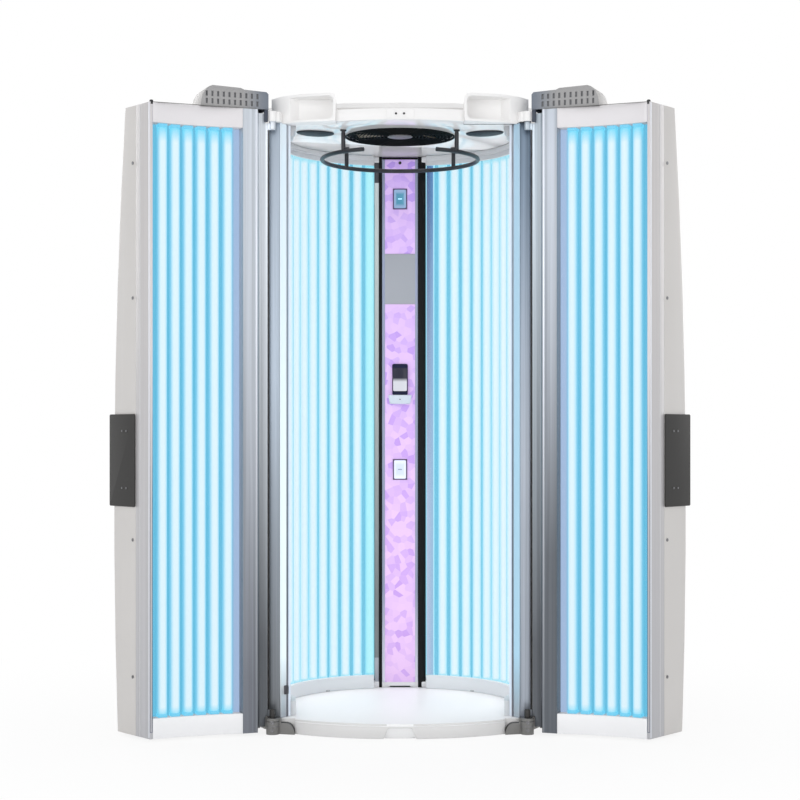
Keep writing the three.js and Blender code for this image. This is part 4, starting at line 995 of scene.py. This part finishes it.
def grabRing():
    gap = grab["gap"]
    ring = hoop("ring", grab["radius"], grab["tube"], (0, 0, grab["height"]), 180 + gap, 360 - 2 * gap, 88, 16)
    parts = [ring]
    low, high = grab["height"], grab["top"]
    post = drum("post", grab["post"], high - low, (0, 0, (low + high) / 2), 16)
    shape(post, upwards, shift(0, 0, -0.010), inset(0.0012), pull(0, 0, 0.010))
    flange = drum("flange", grab["flange"], 0.005, (0, 0, high - 0.0025), 28)
    faced(flange, 0.004, (0, 0, -0.002), 0.0008, downwards)
    for quarter in range(4):
        angle = math.radians(45 + 90 * quarter)
        place = (grab["radius"] * math.sin(angle), grab["radius"] * math.cos(angle), 0)
        parts += [copyOf(post, place), copyOf(flange, place)]
    drop(post, flange)
    whole = joinAll("grab_ring_finish", parts)
    dress(soften(whole, 0, smooth=40), "cabin", "ring_grey", ringGrey)
    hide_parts("grab_ring")


ledgePale = paint("ledgePale", srgb(198, 208, 220), 0.35)
litPanel = panelFinish("litPanel")


def meshFinish(name):  # speaker cloth with rows of fine holes
    finish, tree, shader = newFinish(name, {"Roughness": 0.55})
    hole = use(tree, "hole", Pitch=0.0045, Radius=0.36).outputs["Hole"]
    wire(tree, mixColor(tree, hole, srgb(38, 42, 50), srgb(12, 14, 18)), shader.inputs["Base Color"])
    bump(tree, shader, mathNode(tree, "SUBTRACT", 1, hole), 0.5)
    return finish


speakerMesh = meshFinish("speakerMesh")

# CAD pieces kept in their form: real edges and a finish
cabinForms = {
    "base_platform": ("platform_white", platformWhite, 0.004), "rear_cover": ("shell_white", shellWhite, 0.003),
    "ballast_tray": ("steel", steel, 0.0015), "power_inlet": ("black_plastic", blackPlastic, 0.001),
    "column_housing": ("black_plastic", blackPlastic, 0.0012), "upper_column_panel": ("lilac_panel", litPanel, 0.0008),
    "lower_column_panel": ("lilac_panel", litPanel, 0.0008), "control_plate": ("plate_grey", plateGrey, 0.0012),
    "display_shelf": ("plate_grey", ledgePale, 0.003),
    "ceiling_panel": ("ceiling_gloss", ceilingGloss, 0.001),
    "fan_motor": ("fan_grey", fanGrey, 0.002),
    "roof_canopy": ("shell_white", shellWhite, 0.004)}
pairForms = {
    "lower_hinge_foot": ("casting_grey", castingGrey, 0.002), "lower_skirt": ("trim_white", skirtLow, 0.001),
    "upper_skirt": ("trim_white", skirtHigh, 0.001), "cabin_acrylic": ("acrylic", acrylicClear, 0),
    "cabin_reflector": ("reflector", cabinReflector, 0), "side_panel": ("shell_white", shellWhite, 0.0008),
    "corner_housing": ("shell_white", housingWhite, 0.003),
    "speaker": ("speaker_black", speakerMesh, 0.003)}
doorForms = {
    "outer_profile": ("aluminium", edgeMetal, 0.0012),
    "bottom_strip": ("trim_white", stripLow, 0.0015), "top_strip": ("trim_white", stripHigh, 0.0015),
    "acrylic": ("acrylic", acrylicClear, 0),
    "shell": ("shell_white", shellWhite, 0.002),
    "handle_plate": ("handle_grey", handleGrey, 0.0012)}


# where the second and third finishes begin: all but the barrel's are painted light and shade
tint = {"hingeFace": 0.0525, "barrel": 0.0125, "hoodEnd": 0.2, "footTop": 0.012, "footArm": 0.023,
        "knuckleTop": 0.0225, "scoop": (0.06, 0.004), "armShade": (0.016, 2.075)}


def paintWhere(piece, index, finish, test):  # other faces of the same piece take a second finish
    setFinishes(piece, *piece.data.materials[:index], finish)
    for face in piece.data.polygons:
        if test(face.center, face.normal):
            face.material_index = index


def refineForms():
    for node, (slot, finish, width) in cabinForms.items():
        refine(node, "cabin", slot, finish, width)
    for side in sides:
        for node, (slot, finish, width) in pairForms.items():
            refine(side + "_" + node, "cabin", slot, finish, width)
        for node, (slot, finish, width) in doorForms.items():
            refine(side + "_door_" + node, side + "_door", slot, finish, width)
        refine(side + "_door_reflector", side + "_door", "reflector", doorReflector[side], 0)
        refine(side + "_door_vent_hood", side + "_door", "hood_grey", hoodFinish(side + "Hood", side), 0.001)
        refine(side + "_upright", "cabin", "aluminium", uprightMetal[side], 0.001)
        profile = refine(side + "_door_inner_profile", side + "_door", "aluminium", aluminium[side], 0.001)
        start, axis = doorAxes(side)[:2]
        # painted highlight and shade: the hinge face takes paler tones above and darker ones below, of the same
        # aluminium
        paintWhere(profile, 1, hingeLightAndShade[side], lambda c, n: axis.dot(c - start) < tint["hingeFace"])
        paintWhere(profile, 2, handleGrey, lambda c, n: (c.xy - start.xy).length < tint["barrel"] and c.z < 1)
        # painted light: the hood's end faces, turned away from the hinge, take a paler grey
        paintWhere(made[side + "_door_vent_hood"], 1, hoodPale,
                   lambda c, n: n.dot(axis) > 0.12 and axis.dot(c - start) > tint["hoodEnd"])
        foot = made[side + "_lower_hinge_foot"]
        # painted shade: the foot's upward faces inboard of the knuckle take a darker grey
        paintWhere(foot, 1, castingTopShade,
                   lambda c, n: n.z > 0.2 and c.z > tint["footTop"] and abs(c.x) < hinge["x"] - tint["footArm"])
        # painted light: the knuckle's top faces take a paler steel
        paintWhere(foot, 2, steel, lambda c, n: n.z > 0.5 and (c.xy - start.xy).length < tint["knuckleTop"])
    refine("fan_rotor", "fan", "fan_grey", rotorGrey, 0.001)
    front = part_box("base_platform")[0][1]
    half, depth = tint["scoop"]
    # painted shade: the platform's front faces, but for the scoop, take a darker white than its top
    paintWhere(made["base_platform"], 1, lipWhite,
               lambda c, n: n.y < -0.4 and not (abs(c.x) < half and c.y > front + depth))
    # painted light and shade: the roof's front faces take the paler white, its top the darker one
    paintWhere(made["roof_canopy"], 1, housingWhite, lambda c, n: n.z < 0.9 and c.y < 0)
    # painted shade: the right corner housing's arm beside the hinge takes a dark grey
    inner, top = tint["armShade"]
    paintWhere(made["right_corner_housing"], 1, sealBlackAndShade, lambda c, n: abs(c.x) > hinge["x"] - inner and c.z < top)


refineForms()
print("CAD forms refined")

columnStrips()
sensorEye()
airStrip()
shelfDot()
displayPiece()
keyPiece("upper_key", lensFinish("blueLens", "upper_key", srgb(72, 136, 164), srgb(134, 162, 194), 0.2),
         lensFinish("paleMark", "upper_key", srgb(170, 222, 244), srgb(120, 170, 200), 0.6))
keyPiece("lower_key", lensFinish("whiteLens", "lower_key", srgb(198, 208, 226), srgb(216, 222, 240), 0.16),
         paint("greyMark", srgb(150, 162, 184), 0.4))
fanGrille()
grabRing()
print("column and ceiling fittings done")


# small fittings on the doors
def laid(piece, origin, xAxis, yAxis, zAxis=Vector((0, 0, 1))):  # moves a piece modelled at the origin onto a face
    turn = Matrix((xAxis, yAxis, zAxis)).transposed().to_4x4()
    turn.translation = origin
    twin = copyOf(piece, turn=turn)
    if turn.determinant() < 0:
        shape(twin, everything, lambda: bpy.ops.mesh.flip_normals())
    return twin


def screwHead(name, radius, tall):
    head = drum(name, radius, tall, (0, 0, tall / 2), 20)
    shape(head, upwards, inset(radius * 0.5), pull(0, 0, -tall * 0.5))
    return soften(head, tall * 0.18)


def screwAt(head, place, normal):
    turn = normal.to_track_quat("Z", "Y").to_matrix().to_4x4()
    return copyOf(head, place, turn)


screws = {"plate": (0.0036, 0.0022), "shell": (0.0056, 0.0024), "plateBack": (0.143, 0.171),
          "plateHeights": (1.0234, 0.8322), "shellBack": 0.1087, "shellHeights": (1.917, 1.467, 0.660, 0.203),
          "plateOut": 0.0052, "shellOut": 0.0004}
edgeStrip = {"channel": (0.4146, 0.4234, -0.0005, 0.004), "low": 0.030, "high": 2.106, "bead": (0.0012, 0.0085),
             "rib": (0.0618, 0.0648)}
plug = {"radius": 0.0062, "along": 0.4175, "back": 0.005, "low": 2.100, "tall": 0.0135}


def doorFittings():
    plateScrew = screwHead("plate_screw", *screws["plate"])
    shellScrew = screwHead("shell_screw", *screws["shell"])
    # painted shade: the channel beside the outer profile is dark below and pale above
    dark = metal("channelMetal", srgb(78, 86, 112), srgb(214, 211, 218), 0.3, (0.80, 1.25), Metallic=0.2)
    bright = metal("edgeHighlightMetal", srgb(222, 225, 232), srgb(240, 242, 248), 0.3, Metallic=0.2)
    first, last, front, rear = edgeStrip["channel"]
    foot, head = edgeStrip["low"], edgeStrip["high"]
    channel = block("edge_channel", (first, front, foot), (last, rear, head))
    faced(channel, 0.0016, (0, 0.0018, 0), 0.0004)
    strips = {}
    # painted highlight: the highlight strip is a bright line on the rounded corner of the flared side
    for name, tall in (("bead", 0.0007), ("rib", 0.0006)):
        low, high = edgeStrip[name]
        strips[name] = block("edge_" + name, (-0.001, low, foot - 0.018), (tall, high, head - 0.001))
        faced(strips[name], 0.0006, (0.0002, 0, 0), 0.0002, facing(0, 1))
    middle = (plug["along"], plug["back"], plug["low"] + plug["tall"] / 2)
    end = drum("corner_plug", plug["radius"], plug["tall"], middle, 24)
    faced(end, 0.002, (0, 0, 0.0012), 0.0008, upwards)
    for side in sides:
        body = side + "_door"
        out = doorSide(side, 0, 1, 0) - doorSide(side, 0, 0, 0)
        back = doorSide(side, 1, 0, 0) - doorSide(side, 0, 0, 0)
        heads = [screwAt(plateScrew, doorSide(side, b, screws["plateOut"], z), out)
                 for b in screws["plateBack"] for z in screws["plateHeights"]]
        dress(joinAll(side + "_plate_screws", heads), body, "steel", steel)
        heads = [screwAt(shellScrew, doorSide(side, screws["shellBack"], screws["shellOut"], z), out)
                 for z in screws["shellHeights"]]
        dress(joinAll(side + "_shell_screws", heads), body, "steel", steel)
        dress(ontoDoor(channel, side), body, "aluminium", dark)
        dress(ontoDoor(end, side), body, "black_plastic", deepBlack)
        for name in ("bead", "rib"):
            strip = laid(strips[name], doorSide(side, 0, 0, 0), out, back)
            strip.name = side + "_edge_" + name
            dress(strip, body, "aluminium", bright if name == "bead" else trimWhite)
    drop(plateScrew, shellScrew, channel, end, *strips.values())


doorFittings()
print("door fittings done")


# bright trims beside the cabin opening, and small fittings of the cabin
trimStrip = {"corner": (0.408, -0.335), "end": (0.3764, -0.2796), "face": 0.0015, "low": 0.0508, "high": 2.0672,
             "white": (0.0008, 0.0362, 0.0022), "line": (0.0368, 0.0465, 0.0034), "pale": (0.0470, 0.0630, 0.0016)}
slotMark = {"angle": 42.0, "radius": 0.4027, "size": (0.016, 0.0045), "low": 0.0512}
catch = {"along": 0.030, "low": 0.128, "high": 0.158, "wide": 0.016, "tall": 0.010}
fascia = {"half": 0.047, "front": -0.4308, "low": 2.0662, "high": 2.0998, "screw": (0.0134, 2.0835)}
duct = {"radius": 0.198, "wall": 0.0035, "low": 2.0766, "high": 2.1195, "inside": 0.0405}
knuckle = {"radius": 0.022, "bolts": (0.015, 0.041), "washer": 0.0275, "grooveShade": 0.0440}


def trimFinish(name, low, middle, high):  # reflects the lamps, darker towards the floor
    # painted reflection of the lamps, as a glow, and painted shade darker towards the floor
    finish, tree, shader = newFinish(name, {"Metallic": 0.15, "Emission Strength": 0.25})
    line = use(tree, "brush", Scale=400).outputs["Line"]
    foot = rising(tree, 0.06, 0.26)
    head = rising(tree, 0.9, 1.9)
    lit(tree, shader, mixColor(tree, head, mixColor(tree, foot, low, middle), high))
    rough(tree, shader, line, 0.22, 0.1)
    return finish


def uprightTrims():
    # the left and right trims take different tones: painted light, the two sides lit differently
    bright = {"left": trimFinish("trimLeft", srgb(150, 154, 160), srgb(236, 244, 247), srgb(222, 232, 240)),
              "right": trimFinish("trimRight", srgb(150, 158, 166), srgb(170, 202, 220), srgb(172, 198, 216))}
    pale = trimFinish("flangePale", srgb(206, 212, 222), srgb(220, 228, 242), srgb(222, 228, 238))
    grey = metal("trimLine", srgb(112, 114, 122), srgb(176, 180, 190), 0.3, (0.2, 1.9), Metallic=0.5)
    start, end = Vector((*trimStrip["corner"], 0)), Vector((*trimStrip["end"], 0))
    for part in ("white", "line", "pale"):
        low, high, tall = trimStrip[part]
        strip = block(part + "_trim", (low, -0.001, trimStrip["low"]), (high, tall, trimStrip["high"]))
        faced(strip, 0.0018, (0, 0.0005 if part == "line" else -0.0005, 0), 0.0005, towardsRear)
        for side in sides:
            sign = mirror[side]
            run = (end - start).normalized()
            along = Vector((sign * run.x, run.y, 0))
            inwards = Vector((-sign * run.y, run.x, 0))
            origin = Vector((sign * start.x, start.y, 0)) + inwards * trimStrip["face"]
            piece = laid(strip, origin, along, inwards)
            piece.name = side + "_" + part + "_trim"
            dress(piece, "cabin", "aluminium", {"white": bright[side], "line": grey, "pale": pale}[part])
            if part == "white" and side == "left":
                hook = block("catch", (catch["along"] - catch["wide"] / 2, 0, catch["low"]),
                             (catch["along"] + catch["wide"] / 2, catch["tall"], catch["high"]))
                faced(hook, 0.003, (0, 0.003, 0), 0.001, towardsRear)
                dress(laid(hook, origin, along, inwards), "cabin", "black_plastic", sealBlackAndShade)
                drop(hook)
        drop(strip)


def skirtSlots():
    width, height = slotMark["size"]
    mark = block("skirt_slot", (-width / 2, -0.001, slotMark["low"]), (width / 2, 0.0006, slotMark["low"] + height))
    faced(mark, 0.0012, (0, -0.001, 0), 0.0003, towardsRear)
    angle = math.radians(slotMark["angle"])
    for side in sides:
        sign = mirror[side]
        origin = Vector((sign * slotMark["radius"] * math.sin(angle), slotMark["radius"] * math.cos(angle), 0))
        along = Vector((sign * math.cos(angle), -math.sin(angle), 0))
        inwards = Vector((-sign * math.sin(angle), -math.cos(angle), 0))
        piece = laid(mark, origin, along, inwards)
        piece.name = side + "_skirt_slot"
        dress(piece, "cabin", "black_plastic", deepBlack)
    drop(mark)


def fasciaCover():
    panel = block("fascia_cover", (-fascia["half"], fascia["front"], fascia["low"]),
                  (fascia["half"], fascia["front"] + 0.006, fascia["high"]))
    shape(panel, towardsFront, inset(0.003), inset(0.0008, -0.0008))
    dress(soften(panel, 0.0006), "cabin", "shell_white", housingWhite)
    head = screwHead("screw", 0.0036, 0.0022)
    across, height = fascia["screw"]
    heads = [screwAt(head, (sign * across, fascia["front"] + 0.0002, height), Vector((0, -1, 0))) for sign in (-1, 1)]
    dress(joinAll("fascia_screws", heads), "cabin", "steel", handleGrey)
    drop(head)


def fanDuct():
    x, y = grille["centre"]
    cup = drum("fan_duct", duct["radius"], duct["high"] - duct["low"], (x, y, (duct["high"] + duct["low"]) / 2), 48)
    shape(cup, downwards, inset(duct["wall"]), pull(0, 0, duct["inside"]))
    dress(soften(cup, 0.0008), "cabin", "fan_grey", deepBlack)


def knuckleBolts():
    bolt = screwHead("bolt", 0.0062, 0.004)
    washer = drum("washer", knuckle["radius"] + 0.0008, 0.0028, (hinge["x"], hinge["y"], knuckle["washer"]), 32)
    shape(washer, lambda c, n: abs(n.z) > 0.9, inset(0.0012))
    soften(washer, 0.0006)
    # painted shade: a dark ring round the knuckle stands for the shade in a groove
    middle = (hinge["x"], hinge["y"], knuckle["grooveShade"])
    grooveShade = hoop("knuckle_groove_shade", knuckle["radius"] - 0.0004, 0.0011, middle, steps=40, around=8)
    soften(grooveShade, 0)
    for side in sides:
        dress(copyOf(grooveShade, ((mirror[side] - 1) * hinge["x"], 0, 0)), "cabin", "black_plastic", deepBlack)
        sign = mirror[side]
        front = Vector((sign * hinge["x"], hinge["y"] - knuckle["radius"] + 0.0012, 0))
        parts = [screwAt(bolt, front + Vector((0, 0, z)), Vector((0, -1, 0))) for z in knuckle["bolts"]]
        parts.append(copyOf(washer, ((sign - 1) * hinge["x"], 0, 0)))
        dress(joinAll(side + "_knuckle_bolts", parts), "cabin", "steel", steel)
    drop(bolt, washer, grooveShade)


gapLightSheet = {"x": (0.1020, 0.1255), "y": (0.4105, 0.4035), "low": 0.101, "high": 2.032, "thick": 0.0012}


def gapLightFinish(name):  # bluer beside the column, paler towards the lamps
    # painted light and shade: a glowing sheet in the gap between the column and the first lamp on the right
    finish, tree, shader = newFinish(name, {"Roughness": 0.3, "Emission Strength": 0.8,
                                            "Base Color": (0.02, 0.03, 0.05, 1)})
    start, end = gapLightSheet["x"]
    across = mathNode(tree, "DIVIDE", mathNode(tree, "SUBTRACT", axes(tree)["X"], start), end - start, True)
    rise = rising(tree, 0.7, 2.0)
    near = mixColor(tree, rise, srgb(194, 208, 234), srgb(56, 78, 132))
    far = mixColor(tree, rise, srgb(148, 194, 228), srgb(82, 144, 200))
    wire(tree, mixColor(tree, across, near, far), shader.inputs["Emission Color"])
    return finish


def paintGapLight():
    (x0, x1), (y0, y1) = gapLightSheet["x"], gapLightSheet["y"]
    run = Vector((x1 - x0, y1 - y0, 0))
    film = block("film", (0, 0, gapLightSheet["low"]), (run.length, gapLightSheet["thick"], gapLightSheet["high"]))
    faced(film, 0.0012, (0, -0.0003, 0), 0.0003)
    along = run.normalized()
    piece = laid(film, Vector((x0, y0, 0)), along, Vector((-along.y, along.x, 0)))
    piece.name = "right_end_film"
    dress(piece, "cabin", "acrylic", gapLightFinish("gapLightSheet"))
    drop(film)


hoodScreen = {"back": (0.0088, 0.0012), "sheets": ((0.022, 0.2400, 0.003, 0.0285), (0.022, 0.2290, 0.029, 0.0525))}
hoodScreenFinish = paint("hoodScreen", srgb(112, 113, 116), 0.6, grain=900, strength=0.4)


doorStrips = {"shaded_hinge_bracket": ((0.0165, -0.0015, 2.0660), (0.0290, 0.0075, 2.1060), 0.0020, -0.0008, 0.0008),
              "top_seal": ((0.0530, -0.0005, 2.1066), (0.4130, 0.0040, 2.1083), 0.0004, -0.0002, 0.0002),
              "hinge_bead": ((0.0546, -0.0007, 0.012), (0.0604, 0.002, 2.1068), 0.0016, -0.0004, 0.0004)}


def doorStrip(name, slot, finish):
    low, high, rim, rise, edge = doorStrips[name]
    strip = faced(block(name, low, high), rim, (0, rise, 0), edge)
    for side in sides:
        dress(ontoDoor(strip, side), side + "_door", slot, finish)
    drop(strip)


def hoodMesh():  # dust mesh close behind the slots
    back, thick = hoodScreen["back"]
    for side in sides:
        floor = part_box(side + "_door_vent_hood")[0][2]
        sheets = []
        for first, last, low, high in hoodScreen["sheets"]:
            sheet = block("sheet", (first, back, floor + low), (last, back + thick, floor + high))
            faced(sheet, 0.0015, (0, 0.0004, 0), 0.0003)
            sheets.append(ontoDoor(sheet, side))
            drop(sheet)
        dress(joinAll(side + "_hood_mesh", sheets), side + "_door", "hood_grey", hoodScreenFinish)


uprightTrims()
skirtSlots()
fasciaCover()
fanDuct()
knuckleBolts()
paintGapLight()
# painted shade: a dark block beside each upper barrel stands for a hinge bracket in shadow
doorStrip("shaded_hinge_bracket", "black_plastic", shadedBracketSlate)  # beside each upper barrel, under the hood
hoodMesh()
doorStrip("top_seal", "black_plastic", castingGrey)
# painted highlight: a bright strip on the edge where the hinge face steps back from the lamp face
doorStrip("hinge_bead", "aluminium",
          metal("hingeEdgeHighlight", srgb(132, 136, 142), srgb(226, 231, 240), 0.3, (0.1, 1.5), Metallic=0.4))
print("cabin fittings done")


# rear, sides and top, which the photo doesn't show
rearWork = {"x": 0.272, "heights": (0.06, 0.46, 0.86, 1.26, 1.66, 2.02), "sideDepths": (-0.268, 0.392), "face": 0.6015,
            "louvres": (1.52, 0.52), "half": 0.150, "slats": 9, "pitch": 0.021, "shellAlong": (0.078, 0.455),
            "shellHeights": (0.13, 0.76, 1.40, 2.00),
            "roof": ((-0.26, 0.55), (0.26, 0.55), (-0.47, 0.05), (0.47, 0.05))}
roofVent = {"rings": (0.022, 0.043, 0.064, 0.085), "wire": 0.0018, "height": 0.0026, "centre": (0, 0.34), "spokes": 6}


def onSurface(node, origin, direction):  # where a line from outside meets a piece, and how its surface faces
    place, normal = made[node].ray_cast(Vector(origin), Vector(direction))[1:3]
    return place, normal


def hiddenScrews():
    head = screwHead("screw", 0.0058, 0.0024)
    bpy.context.view_layer.update()
    spots = [onSurface("rear_cover", (sign * rearWork["x"], 2, z), (0, -1, 0))
             for sign in (-1, 1) for z in rearWork["heights"]]
    for side in sides:
        spots += [onSurface(side + "_side_panel", (mirror[side] * 2, y, z), (-mirror[side], 0, 0))
                  for y in rearWork["sideDepths"] for z in rearWork["heights"]]
    spots += [onSurface("roof_canopy", (x, y, 3), (0, 0, -1)) for x, y in rearWork["roof"]]
    dress(joinAll("panel_screws", [screwAt(head, *spot) for spot in spots]), "cabin", "steel", steel)
    for side in sides:
        forwards = -doorAxes(side)[2]
        spots = [onSurface(side + "_door_shell", doorPlace(side, along, 1, z), forwards)
                 for along in rearWork["shellAlong"] for z in rearWork["shellHeights"]]
        dress(joinAll(side + "_rear_screws", [screwAt(head, *spot) for spot in spots]), side + "_door", "steel", steel)
    drop(head)


def rearLouvres():
    half, pitch, face = rearWork["half"], rearWork["pitch"], rearWork["face"]
    slat = block("slat", (-half, 0, 0), (half, 0.0065, 0.0135))
    shape(slat, upwards, shift(0, -0.0045, 0), stretch(1, 0.35, 1))
    soften(slat, 0.0008)
    tall = pitch * rearWork["slats"]
    tray = block("tray", (-half - 0.014, -0.001, -0.012), (half + 0.014, 0.0035, tall + 0.005))
    shape(tray, towardsRear, inset(0.011), pull(0, -0.003, 0))
    paintPicked(tray, 1)
    soften(tray, 0.0009)
    for index, low in enumerate(rearWork["louvres"]):
        base = copyOf(tray, (0, face, low))
        base.name = "louvre_tray_%d" % index
        dress(base, "cabin", "shell_white")
        setFinishes(base, shellWhite, deepBlack)
        slats = [copyOf(slat, (0, face + 0.0004, low + step * pitch)) for step in range(rearWork["slats"])]
        dress(joinAll("louvre_slats_%d" % index, slats), "cabin", "shell_white", shellWhite)
    drop(slat, tray)


def roofGrille():  # exhaust grille on the falling rear half of the roof
    height = roofVent["height"]
    inner, outer = roofVent["rings"][0], roofVent["rings"][-1]
    wires = [hoop("wire", radius, roofVent["wire"], (0, 0, height), steps=56, around=8)
             for radius in roofVent["rings"]]
    spoke = block("spoke", (inner, -0.0025, height - 0.0028), (outer, 0.0025, height))
    faced(spoke, 0.0009, (0, 0, 0.0005), 0.0004, upwards)
    wires += [copyOf(spoke, (0, 0, 0), Matrix.Rotation(2 * math.pi * index / roofVent["spokes"], 4, "Z"))
              for index in range(roofVent["spokes"])]
    cage = soften(joinAll("cage", wires), 0)
    disc = drum("disc", outer, 0.003, (0, 0, 0), 56)
    faced(disc, 0.004, (0, 0, -0.0008), 0.0006, upwards)
    spot = onSurface("roof_canopy", (*roofVent["centre"], 3), (0, 0, -1))
    for piece, finish in ((cage, fanGrey), (disc, deepBlack)):
        dress(screwAt(piece, *spot), "cabin", "fan_grey", finish).name = "roof_vent_" + piece.name
    drop(spoke, cage, disc)


hiddenScrews()
rearLouvres()
roofGrille()
print("rear, sides and top done")
